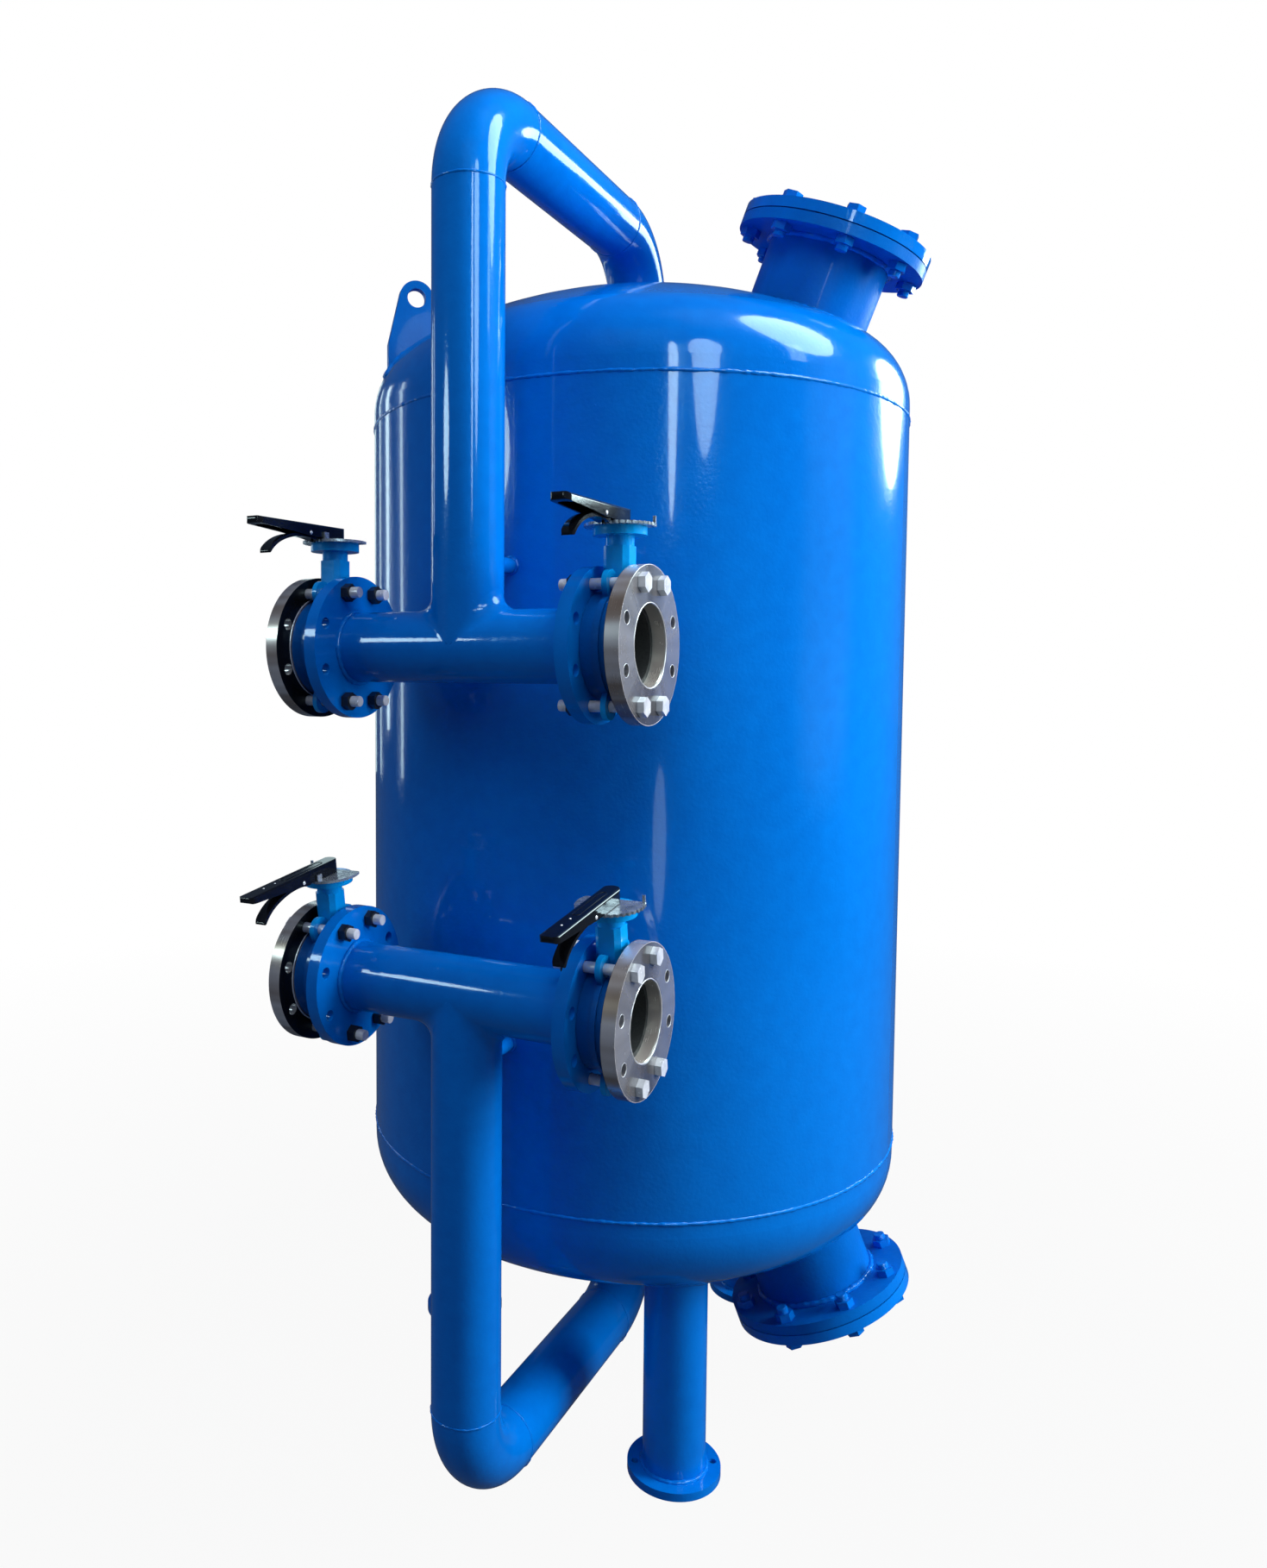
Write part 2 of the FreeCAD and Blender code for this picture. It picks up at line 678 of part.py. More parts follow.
def valve_disc():
    slab = cylinder("DiscSlab", "disc_radius", "disc_depth", x="-disc_depth / 2", along="x")
    hub = cylinder("DiscHub", "stem_radius + 4", "2 * disc_radius", z="-disc_radius")
    ball = doc.addObject("Part::Sphere", "DiscBall")
    bind(ball, Radius="disc_radius")
    wheel = common("DiscWheel", [joined("DiscBlank", [slab, hub]), ball])
    stem = cylinder("Stem", "stem_radius", "70 + lever_base", z="-70")
    tang = box("StemTang", "1.4 * stem_radius", "1.4 * stem_radius", "lever_top - lever_base - lever_wall",
               x="-0.7 * stem_radius", y="-0.7 * stem_radius", z="lever_base")
    return joined("ValveDisc", [wheel, stem, tang])


def valve_plate():
    # Notched index plate: a front half disc with teeth, two stop tabs and a straight back
    low = "neck_top + pad_depth"
    disc = cylinder("PlateDisc", "plate_radius", "plate_depth", z=low)
    back = box("PlateBack", "2 * plate_radius", "plate_radius", "plate_depth",
               x="-plate_radius", y="20", z=low)
    scallop = cylinder("PlateScallop", "3", "plate_depth", y="-plate_radius - 0.5", z=low)
    notches = []
    for number in range(12):
        copy = group(f"PlateNotch{number}", [scallop])
        copy.Placement.Rotation = Rotation(Vector(0, 0, 1), 10 * number - 10)
        notches.append(copy)
    hole = cylinder("PlateHole", "stem_radius + 1", "plate_depth", z=low)
    plate = cut("PlateCut", disc, [back, hole] + notches)
    tab = box("StopTab", "2.5", "10", "14", x="-lever_width / 2 - 3.2", y="-plate_radius + 3",
              z=low)
    other = box("StopTabOpen", "4", "2.5", "15", x="plate_radius - 8",
                y="lever_width / 2 + 0.7", z=low)
    return joined("IndexPlate", [plate, tab, other])


def rounded_strip(name, half, near, far, height):
    # Flat strip along -Y from near to far, with a half round far end, raised to the height
    wide = worked_out(half)
    start = -worked_out(near)
    end = -worked_out(far)
    sketch = doc.addObject("Sketcher::SketchObject", name + "Outline")
    up = Vector(0, 0, 1)
    corners = [Vector(-wide, end + wide, 0), Vector(-wide, start, 0), Vector(wide, start, 0),
               Vector(wide, end + wide, 0)]
    lines = []
    for first, second in zip(corners, corners[1:]):
        lines.append(sketch.addGeometry(Part.LineSegment(first, second)))
    circle = Part.Circle(Vector(0, end + wide, 0), up, wide)
    tip = sketch.addGeometry(Part.ArcOfCircle(circle, radians(180), radians(360)))
    rule = Sketcher.Constraint
    sketch.addConstraint(rule("Coincident", lines[0], 2, lines[1], 1))
    sketch.addConstraint(rule("Coincident", lines[1], 2, lines[2], 1))
    sketch.addConstraint(rule("Tangent", tip, 1, lines[0], 1))
    sketch.addConstraint(rule("Tangent", tip, 2, lines[2], 2))
    sketch.addConstraint(rule("Vertical", lines[0]))
    sketch.addConstraint(rule("Horizontal", lines[1]))
    sketch.addConstraint(rule("PointOnObject", tip, 3, -2))
    measures = (
        (rule("Radius", tip, wide), half),
        (rule("DistanceY", tip, 3, -1, 1, -end - wide), f"{far} - ({half})"),
        (rule("DistanceY", tip, 3, lines[0], 2, start - end - wide), f"{far} - ({near}) - ({half})"),
    )
    for constraint, text in measures:
        index = sketch.addConstraint(constraint)
        sketch.setExpression(f"Constraints[{index}]", bound(text))
    strip = doc.addObject("Part::Extrusion", name)
    strip.Base = sketch
    strip.DirMode = "Normal"
    strip.Solid = True
    bind(strip, LengthFwd=height)
    return strip


def lever():
    # Side outline: one straight back from the stem to a round tip, with a deeper hub
    sketch = doc.addObject("Sketcher::SketchObject", "LeverOutline")
    sketch.Placement = FreeCAD.Placement(Vector(), Rotation(Vector(0, 1, 0), Vector(0, 0, 1),
                                                            Vector(1, 0, 0), "XYZ"))
    top, base, length = size("lever_top"), size("lever_base"), size("lever_length")
    drop, nose, tip = size("lever_drop"), size("lever_nose"), size("lever_tip")
    rise, over = size("lever_rise"), size("lever_over")
    tip_start = "lever_length - lever_tip"
    corners = (
        (nose, base, "lever_nose", "lever_base"),
        (nose, top + over, "lever_nose", "lever_top + lever_over"),
        (-length + tip, top - drop + over, tip_start, "lever_top - lever_drop + lever_over"),
        (-length + tip, top - drop + over - 2 * tip, tip_start,
         "lever_top - lever_drop + lever_over - 2 * lever_tip"),
        (-length * 0.6, base + rise, "lever_length * 0.6", "lever_base + lever_rise"),
        (-length * 0.4, base, "lever_length * 0.4", "lever_base"),
    )
    points = [Vector(x, y, 0) for x, y, _, _ in corners]
    tip_line = 2
    lines = []
    rule = Sketcher.Constraint
    for index, start in enumerate(points):
        end = points[(index + 1) % len(points)]
        if index == tip_line:
            middle = Vector(start.x - tip, (start.y + end.y) / 2, 0)
            curve = Part.Arc(start, middle, end)
            lines.append(sketch.addGeometry(curve))
        else:
            lines.append(sketch.addGeometry(Part.LineSegment(start, end)))
    arc = lines[tip_line]
    for index, line in enumerate(lines):
        following = lines[(index + 1) % len(lines)]
        sketch.addConstraint(rule("Coincident", line, 2, following, 1))
    for line, (x, y, width, height) in zip(lines, corners):
        if x > 0:
            reach = sketch.addConstraint(rule("DistanceX", -1, 1, line, 1, x))
        else:
            reach = sketch.addConstraint(rule("DistanceX", line, 1, -1, 1, -x))
        level = sketch.addConstraint(rule("DistanceY", -1, 1, line, 1, y))
        sketch.setExpression(f"Constraints[{reach}]", bound(width))
        sketch.setExpression(f"Constraints[{level}]", bound(height))
    centre = sketch.addConstraint(rule("DistanceX", arc, 3, -1, 1, length - tip))
    sketch.setExpression(f"Constraints[{centre}]", bound(tip_start))
    side = doc.addObject("Part::Extrusion", "LeverSide")
    side.Base = sketch
    side.DirMode = "Normal"
    side.Solid = True
    side.Symmetric = True
    bind(side, LengthFwd="lever_width")
    # Plan outline: parallel sides, half round at the tip and round the stem
    depth = "2 * (lever_top - lever_base)"
    strip = rounded_strip("LeverStrip", "lever_width / 2", "0", "lever_length + lever_over", depth)
    move(strip, z="lever_base - lever_hub / 2")
    hub = cylinder("LeverHub", "lever_width / 2", depth, z="lever_base - lever_hub / 2")
    plan = joined("LeverPlan", [strip, hub])
    # Back of the lever: a bar whose two long upper edges are rounded, laid along the slope
    slope = atan2(drop, length)
    back = Vector(0, cos(slope), sin(slope))
    above = Vector(0, -sin(slope), cos(slope))
    bar = box("LeverBar", "lever_width", "2 * lever_length", depth)
    rounded = doc.addObject("Part::Fillet", "LeverRounded")
    rounded.Base = bar
    doc.recompute()
    edge_radius = size("lever_edge")
    chosen = []
    for number, edge in enumerate(bar.Shape.Edges, start=1):
        if edge.BoundBox.ZMin > 0 and edge.BoundBox.YLength > length:
            chosen.append((number, edge_radius, edge_radius))
    rounded.Edges = chosen
    rounded.Placement.Rotation = Rotation(Vector(1, 0, 0), back, above, "XYZ")
    run = "1.5 * lever_length"
    stretch = "sqrt(lever_length^2 + lever_drop^2) / lever_length"
    move(rounded, x="-lever_width / 2", y="-" + run,
         z=f"lever_top - {depth} * {stretch} - {run} * lever_drop / lever_length")
    outside = common("LeverOutside", [side, plan, rounded])
    wall = "lever_wall"
    cavity = rounded_strip("LeverCavity", f"lever_width / 2 - {wall}", "0",
                           f"lever_length - lever_hub - lever_end - {wall}", depth)
    cavity.Placement.Rotation = Rotation(Vector(1, 0, 0), back, above, "XYZ")
    move(cavity, y="-lever_hub", z=f"lever_top - {wall} - lever_slack - {depth}")
    tang_side = "1.4 * stem_radius"
    socket = box("LeverSocket", tang_side, tang_side, f"lever_top - lever_base - {wall} + 1",
                 x="-0.7 * stem_radius", y="-0.7 * stem_radius", z="lever_base - 1")
    channel = cut("LeverChannel", outside, [cavity, socket])
    pin = cylinder("LeverPin", "pivot_radius", "lever_width - 1", x="0.5 - lever_width / 2",
                   y="-pivot_out", z="pivot_height", along="x")
    return joined("Lever", [channel, pin])


def trigger():
    # Squeeze trigger: a latch nose by the index plate, a pivot boss and a hooked finger grip
    pivot = size("pivot_height")
    out = size("pivot_out")
    thick = size("trigger_thick")
    reach, drop = size("grip_reach"), size("grip_drop")
    path = [(-size("trigger_start"), pivot - size("trigger_lift"))]
    for share, fall in ((0.25, 0.07), (0.5, 0.20), (0.78, 0.50), (1.0, 1.0)):
        path.append((-out - share * reach, pivot - fall * drop))
    curve = Part.BSplineCurve()
    curve.interpolate([Vector(0, y, z) for y, z in path])
    upper = curve.toShape()
    lower_points = []
    count = 13
    for number in range(count):
        parameter = curve.FirstParameter + (curve.LastParameter - curve.FirstParameter) \
            * number / (count - 1)
        point = curve.value(parameter)
        tangent = curve.tangent(parameter)[0]
        normal = Vector(0, -tangent.z, tangent.y)
        lower_points.append(point + normal * thick)
    below = Part.BSplineCurve()
    below.interpolate(lower_points)
    start = Part.makeLine(curve.value(curve.FirstParameter), lower_points[0])
    last = curve.value(curve.LastParameter)
    finish_tangent = curve.tangent(curve.LastParameter)[0]
    middle = (last + lower_points[-1]) * 0.5 + finish_tangent * (thick / 2)
    finish = Part.Arc(last, middle, lower_points[-1]).toShape()
    wire = Part.Wire(Part.__sortEdges__([upper, start, below.toShape(), finish]))
    width = size("trigger_width")
    face = Part.Face(wire)
    blade = face.extrude(Vector(width, 0, 0))
    blade.translate(Vector(-width / 2, 0, 0))
    blank = doc.addObject("Part::Feature", "TriggerBlade")
    blank.Shape = blade
    # The grip has a half round end in plan
    plan = rounded_strip("TriggerPlan", "trigger_width / 2", "trigger_start - 1", "pivot_out + grip_reach + 4",
                         "2 * grip_drop")
    move(plan, z="pivot_height - 1.6 * grip_drop")
    grip = common("TriggerGrip", [blank, plan])
    boss = cylinder("TriggerBoss", "2 * pivot_radius", "trigger_width", x="-trigger_width / 2",
                    y="-pivot_out", z="pivot_height", along="x")
    tooth = box("TriggerTooth", "tooth_width", "tooth_depth", "tooth_depth + 1",
                x="-tooth_width / 2", y="-plate_radius - tooth_depth - tooth_gap",
                z="neck_top + pad_depth - plate_depth / 2")
    hole = cylinder("TriggerHole", "pivot_radius + stem_play", "trigger_width",
                    x="-trigger_width / 2", y="-pivot_out", z="pivot_height", along="x")
    return cut("Trigger", joined("TriggerBlank", [grip, boss, tooth]), [hole])


def counter_flange():
    # Loose machined flange on the outer face of the valve
    near = "valve_gap / 2"
    ring = tube("CounterRing", "flange_radius", "counter_bore", "counter_depth", x=near, along="x")
    mouth = doc.addObject("Part::Cone", "CounterMouth")
    bind(mouth, Radius1="counter_bore", Radius2="counter_bore + 2.5", Height="2.5")
    mouth.Placement.Rotation = TURNS["x"]
    move(mouth, x=near + " + counter_depth - 2.5")
    tools = [mouth]
    for number, angle in enumerate(flange_hole_places()):
        tools.append(cylinder(
            f"CounterHole{number}", "flange_hole", "counter_depth", x=near,
            y=f"flange_circle * sin({angle})", z=f"flange_circle * cos({angle})", along="x"))
    return cut("CounterFlange", ring, tools)


def valve_fasteners():
    # Four hex bolts from the outer face, with nuts inside the fixed flange
    bolts = []
    nuts = []
    for number, angle in enumerate((22.5, 157.5, 202.5, 337.5)):
        y = f"flange_circle * sin({angle})"
        z = f"flange_circle * cos({angle})"
        inner = "-valve_gap / 2 - flange_depth"
        shank = cylinder(f"BoltShank{number}", "bolt_radius",
                         "valve_gap + flange_depth + counter_depth + nut_depth + bolt_end",
                         x=inner + " - nut_depth - bolt_end", y=y, z=z, along="x")
        cap = hexagon(f"BoltCap{number}", "bolt_head", "bolt_head_depth",
                      x="valve_gap / 2 + counter_depth", y=y, z=z, along="x")
        bolts.append(joined(f"Bolt{number}", [shank, cap]))
        blank = hexagon(f"NutBlank{number}", "bolt_head", "nut_depth", x=inner + " - nut_depth",
                        y=y, z=z, along="x")
        thread = cylinder(f"NutThread{number}", "bolt_radius", "nut_depth",
                          x=inner + " - nut_depth", y=y, z=z, along="x")
        nuts.append(cut(f"Nut{number}", blank, [thread]))
    return group("BoltSet", bolts), group("NutSet", nuts)


def mirrored(name, master):
    piece = doc.addObject("Part::Mirroring", name)
    piece.Source = master
    piece.Normal = Vector(1, 0, 0)
    return piece


def valves():
    bolts, nuts = valve_fasteners()
    plate = valve_plate()
    sided = {
        "liner": valve_liner(),
        "plate": plate,
        "bolts": bolts,
        "nuts": nuts,
    }
    singles = {
        "valve_body": valve_body(),
        "valve_disc": valve_disc(),
        "lever": lever(),
        "trigger": trigger(),
        "counter_flange": counter_flange(),
    }
    flipped = {
        "plate": mirrored("PlateMirror", plate),
        "bolts": mirrored("BoltsMirror", bolts),
        "nuts": mirrored("NutsMirror", nuts),
        "counter_flange": mirrored("CounterMirror", singles["counter_flange"]),
    }
    gathered = {label: [] for label in sided}
    for word, height in (("upper", "header_high"), ("lower", "header_low")):
        for side, sign in (("left", "-"), ("right", "")):
            centre = f"{sign}(header_half + valve_gap / 2)"
            for label, master in list(singles.items()) + list(sided.items()):
                source = flipped.get(label, master) if side == "left" else master
                name = f"{label}_{word}_{side}".title().replace("_", "")
                copy = group(name, [source])
                move(copy, x=centre, y="-manifold_reach", z=height)
                if word == "lower":
                    # The lower valves lean to the front, round the header's axis
                    copy.Placement.Rotation = Rotation(Vector(1, 0, 0), size("lower_lean"))
                    copy.setExpression("Placement.Rotation.Angle", bound("lower_lean"))
                if label in singles:
                    node(copy, f"{word}_{side}_{label}")
                else:
                    gathered[label].append(copy)
    for label, title in (("liner", "seat_liners"), ("plate", "index_plates"),
                         ("bolts", "valve_bolts"), ("nuts", "valve_nuts")):
        node(group(title.title().replace("_", ""), gathered[label]), title)


vessel()
hatches()
header("upper", "header_high", True)
header("lower", "header_low", False)
branch("upper", "header_high", "crossover_high", True)
branch("lower", "header_low", "crossover_low", False)
stays()
legs()
lugs()
bed()
spreader()
valves()
doc.recompute()


def check(pieces):
    for piece in doc.Objects:
        if "Invalid" in piece.State or "Error" in piece.State:
            raise RuntimeError(f"{piece.Name} failed: {piece.State}")
    for piece in pieces:
        shape = piece.Shape
        if shape.isNull() or not shape.isValid() or shape.Volume <= 0:
            raise RuntimeError(f"{piece.Label} has no sound solid")


check(nodes)
os.makedirs("parts", exist_ok=True)
for piece in nodes:
    piece.Shape.exportStep(f"parts/{piece.Label}.step")
print(len(nodes), "sub-parts written")
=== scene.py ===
# %% [markdown]
# # A steel sand filter, dressed in Blender
#
# The object is a welded pressure vessel on three legs. Water passes through a bed of sand in it.
# A manifold of bent pipe stands in front, with four butterfly valves that turn it on and off.
#
# The solids come from the CAD model as a fixed frame. This lesson adds what the CAD leaves out:
# paint, turned steel, weld beads, threads, bright edges and rivets. Then it sets the light and
# the camera.

# %% Load the fixed frame
import json
from math import cos, pi, radians, sin

import bmesh
import bpy
from mathutils import Matrix, Vector, noise
from mathutils.bvhtree import BVHTree


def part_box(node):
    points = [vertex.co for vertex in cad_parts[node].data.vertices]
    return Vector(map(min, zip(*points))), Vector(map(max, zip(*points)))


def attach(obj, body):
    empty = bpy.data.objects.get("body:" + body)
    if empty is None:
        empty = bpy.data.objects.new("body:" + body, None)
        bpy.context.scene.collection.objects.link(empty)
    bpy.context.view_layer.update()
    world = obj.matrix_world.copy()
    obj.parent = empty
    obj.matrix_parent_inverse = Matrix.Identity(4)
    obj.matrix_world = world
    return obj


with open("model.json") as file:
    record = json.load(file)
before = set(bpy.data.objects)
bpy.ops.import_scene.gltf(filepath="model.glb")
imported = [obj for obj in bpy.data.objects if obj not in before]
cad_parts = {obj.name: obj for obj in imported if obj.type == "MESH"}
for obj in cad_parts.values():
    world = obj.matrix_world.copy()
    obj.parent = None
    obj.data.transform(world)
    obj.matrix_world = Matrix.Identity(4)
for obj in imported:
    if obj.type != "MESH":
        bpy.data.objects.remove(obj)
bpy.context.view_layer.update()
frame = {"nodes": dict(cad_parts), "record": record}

# %% [markdown]
# ## Sizes that more than one piece needs
#
# All lengths are metres, in the frame of the CAD model. The vessel's axis is Z.
# The manifold stands in front of it, on the negative Y side. Most sizes are read from the frame,
# so that the pieces follow the CAD when it changes. The few that a box around a node can't give,
# such as the circle of the bolt holes, are named here once.

# %% Read the sizes from the frame
def middle(node):
    low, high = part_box(node)
    return (Vector(low) + Vector(high)) / 2


def span(node):
    low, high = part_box(node)
    return Vector(high) - Vector(low)


def end_of(node, axis, high):
    low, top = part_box(node)
    return (top if high else low)[axis]


up = Vector((0, 0, 1))
right = Vector((1, 0, 0))
rearward = Vector((0, 1, 0))
vessel_radius = span("shell").x / 2
seam_heights = [end_of("shell", 2, False), end_of("shell", 2, True)]
pipe_radius = span("upper_riser").x / 2
manifold_y = middle("upper_riser").y
header_heights = {"upper": middle("upper_header").z, "lower": middle("lower_header").z}
half_height = sum(header_heights.values()) / 2
print("vessel radius", round(vessel_radius, 3), "pipe radius", round(pipe_radius, 3),
      "headers at", header_heights)

# %% Name the sizes of the flanged ports and the hand holes
flange_depth = 0.020
nut_depth = 0.013
flange_back = span("upper_header").x / 2 - flange_depth
nut_face = flange_back - nut_depth
seat_face = end_of("upper_right_counter_flange", 0, False)
bolt_circle = 0.090
hole_angles = [radians(22.5 + 45 * number) for number in range(8)]
bolted_angles = [hole_angles[number] for number in (0, 3, 4, 7)]
open_angles = [hole_angles[number] for number in (1, 2, 5, 6)]
hatch_neck_radius = 0.1095
hatch_circle = 0.1475
print("the valves sit between", round(flange_back + flange_depth, 3), "and", round(seat_face, 3))

# %% Find the directions of the valves and the hand holes
joint_axes = {joint["name"]: Vector(joint["axis"])
              for joint in frame["record"]["behaviour"]["joints"]}
stem_axes = {where: joint_axes[where + "_right_valve_turn"] for where in header_heights}


def valve_point(where, x, forward, rise):
    # A place given from the header's axis, in the valve's own directions
    stem = stem_axes[where]
    front = stem.cross(right)
    return Vector((x, manifold_y, header_heights[where])) + front * forward + stem * rise


def hatch_axis(where):
    # The middle of a hand hole's gasket, and the way out through its cover
    seat = middle(where + "_hatch_gasket")
    return seat, (middle(where + "_hatch_cover") - seat).normalized()


print("lower valve stems point along", tuple(stem_axes["lower"]))

# %% [markdown]
# ## A small language for materials
#
# A material is a network of nodes. Drawn by hand that is quick, but in code it gets long.
# The class `Wire` wraps one output socket, so that plus, minus, times and divide add Math nodes.
# The class `Finish` is one material. Its method `node` adds any other node from three things:
# the type, the settings, and the values or wires of its inputs.

# %% The wire
def is_wire(value):
    return isinstance(value, Wire)


class Wire:
    def __init__(self, finish, box, socket):
        self.finish, self.box, self.socket = finish, box, socket

    def out(self, name):
        return Wire(self.finish, self.box, self.box.outputs[name])

    def maths(self, operation, *others):
        return self.finish.node("ShaderNodeMath", {"operation": operation},
                                {index: value for index, value in enumerate((self, *others))})

    def __add__(self, other):
        return self.maths("ADD", other)

    def __mul__(self, other):
        return self.maths("MULTIPLY", other)

    def __sub__(self, other):
        return self.maths("SUBTRACT", other)

    def __rsub__(self, other):
        return (self * -1.0) + other

    def __truediv__(self, other):
        return self.maths("DIVIDE", other)

    __radd__ = __add__
    __rmul__ = __mul__


print("wires can be added, subtracted, multiplied and divided")

# %% The finish
# A Mix node's colour sockets share their names with its others, so they are found by number
mix_colours = (6, 7)
mix_result = 2


class Finish:
    def __init__(self, name, **constants):
        self.material = bpy.data.materials.new(name)
        self.material.use_nodes = True
        self.tree = self.material.node_tree
        self.shader = self.tree.nodes["Principled BSDF"]
        for socket, value in constants.items():
            self.shader.inputs[socket.replace("_", " ")].default_value = value

    def fill(self, socket, value):
        if is_wire(value):
            self.tree.links.new(value.socket, socket)
        else:
            socket.default_value = value

    def node(self, kind, settings=None, inputs=None):
        box = self.tree.nodes.new(kind)
        for key, value in (settings or {}).items():
            setattr(box, key, value)
        for key, value in (inputs or {}).items():
            self.fill(box.inputs[key], value)
        shown = [socket for socket in box.outputs if socket.enabled]
        return Wire(self, box, shown[0])

    def set(self, **wires):
        for socket, wire in wires.items():
            self.tree.links.new(wire.socket, self.shader.inputs[socket.replace("_", " ")])
        return self.material

    def place(self):
        return self.node("ShaderNodeTexCoord").out("Object")

    def stretched(self, scale):
        return self.node("ShaderNodeMapping", None, {"Vector": self.place(), "Scale": scale})

    def cloud(self, scale, detail=2.0, vector=None, roughness=0.5):
        return self.node("ShaderNodeTexNoise", None,
                         {"Vector": vector or self.place(), "Scale": scale, "Detail": detail,
                          "Roughness": roughness})

    def cells(self, scale):
        return self.node("ShaderNodeTexVoronoi", {"feature": "F1"},
                         {"Vector": self.place(), "Scale": scale, "Randomness": 1.0})

    def ramp(self, wire, low, high, out_low=0.0, out_high=1.0):
        return self.node("ShaderNodeMapRange", {"clamp": True},
                         {"Value": wire, "From Min": low, "From Max": high,
                          "To Min": out_low, "To Max": out_high})

    def blend(self, mask, first, second):
        mixed = self.node("ShaderNodeMix", {"data_type": "RGBA"}, {"Factor": mask})
        for number, colour in zip(mix_colours, (first, second)):
            self.fill(mixed.box.inputs[number], colour if is_wire(colour) else (*colour, 1.0))
        return Wire(self, mixed.box, mixed.box.outputs[mix_result])

    def bump(self, height, depth, under=None):
        inputs = {"Height": height, "Distance": depth, "Strength": 1.0}
        if under:
            inputs["Normal"] = under
        return self.node("ShaderNodeBump", None, inputs)


print("finishes can blend, ramp and bump")

# %% [markdown]
# ## The distance from a header's axis
#
# The port flanges were turned about the header's axis, and the valves sit round the same axis.
# So the tool marks and the coats of paint there need the distance from it. There are two
# headers, and the height of a point tells which one it belongs to.

# %% Find the distance from a header's axis
def axis_distance(finish):
    parts = finish.node("ShaderNodeSeparateXYZ", None, {"Vector": finish.place()})
    across = parts.out("Y") - manifold_y
    height = parts.out("Z")
    is_upper = height.maths("GREATER_THAN", half_height)
    apart = header_heights["upper"] - header_heights["lower"]
    rise = height - (is_upper * apart + header_heights["lower"])
    reach = (across * across + rise * rise).maths("SQRT")
    return reach, parts.out("X"), across, rise


print("the rings follow the headers at", header_heights)

# %% [markdown]
# ## Blue enamel
#
# The vessel and its pipework are sprayed with a vivid blue gloss enamel. Sprayed paint is never
# flat: it has a fine orange peel, the rolled plate under it is a little wavy, and specks of dust
# sit in it. One function makes the paint of the plate, of the rough weld beads, of the duller
# hand hole necks, whose darker blue is painted shade, and of the lighter valve bodies, whose
# middle gets a darker blue as painted shade.

# %% Make the blue enamels
def enamel(name, deep, bright, peel, waves, lumps, roughness, coat=0.45, middle_shade=None):
    paint = Finish(name, Metallic=0.0, Coat_Weight=coat, Coat_Roughness=0.05,
                   Specular_IOR_Level=0.12, Specular_Tint=(0.35, 0.75, 1.0, 1.0))
    # The tone drifts in wide upright patches, with a fine mottling in them
    drift = paint.cloud(1.7, 2.0, paint.stretched((1.0, 1.0, 0.45)))
    mottling = paint.cloud(38.0, 4.0)
    tone = paint.ramp(drift * 0.75 + mottling * 0.25, 0.38, 0.62)
    colour = paint.blend(tone, deep, bright)
    if middle_shade:
        # The middle of the casting, up to these distances from the axis, gets a darker blue as painted
        # shade between the flanges
        shaded_middle = paint.ramp(axis_distance(paint)[0], 0.083, 0.100)
        colour = paint.blend(shaded_middle, middle_shade, colour)
    patches = paint.cloud(7.0, 5.0, paint.stretched((1.0, 1.0, 0.3)))
    shine = paint.ramp(patches, 0.35, 0.7, roughness * 0.75, roughness * 1.35)
    # The waves of the plate lie lowest, then the orange peel, the weld's lumps and the dust
    relief = paint.bump(paint.cloud(4.5, 1.0, paint.stretched((1.0, 1.0, 0.6))), waves)
    relief = paint.bump(paint.cloud(170.0, 2.0), peel, relief)
    if lumps:
        relief = paint.bump(paint.cloud(300.0, 2.0) * 0.4 + paint.cloud(95.0, 1.0), lumps, relief)
    dust = paint.ramp(paint.cells(26.0), 0.05, 0.02)
    relief = paint.bump(dust, 0.0002, relief)
    return paint.set(Base_Color=colour, Roughness=shine, Normal=relief)


blue_enamel = enamel("blue_enamel", deep=(0.0002, 0.138, 0.56), bright=(0.0004, 0.178, 0.67),
                     peel=0.0003, waves=0.0045, lumps=0.0, roughness=0.12)
weld_enamel = enamel("weld_enamel", deep=(0.0004, 0.140, 0.57), bright=(0.0006, 0.185, 0.70),
                     peel=0.0003, waves=0.0, lumps=0.0012, roughness=0.14)
# The necks and lugs get darker blues as painted shade
shaded_neck_enamel = enamel("shaded_neck_enamel", deep=(0.0002, 0.110, 0.46), bright=(0.0004, 0.145, 0.56),
                     peel=0.0004, waves=0.0030, lumps=0.0, roughness=0.40, coat=0.06)
valve_enamel = enamel("valve_enamel", deep=(0.0006, 0.260, 0.72), bright=(0.0012, 0.345, 0.86),
                      peel=0.0003, waves=0.0, lumps=0.0005, roughness=0.26,
                      middle_shade=(0.0003, 0.085, 0.36))
print("made", blue_enamel.name, weld_enamel.name, shaded_neck_enamel.name, valve_enamel.name)

# %% [markdown]
# ## Turned steel
#
# The loose flanges on the ports are stainless steel turned on a lathe. The tool leaves fine rings
# round the axis, and the light on such a face spreads like a fan. The rings come from a noise that
# reads only the distance from the axis and the place along it. The fan is painted sheen in the
# colour, read from the direction round the axis. The rim and the bore wall get a painted highlight,
# lighter than the face, and the side toward the valve gets painted shade.

# %% Make the turned steel
bore_edge = 0.0583
rim_edge = 0.1093
seat_edge = 0.0792
valve_side_shade = (0.014, 0.016, 0.018)


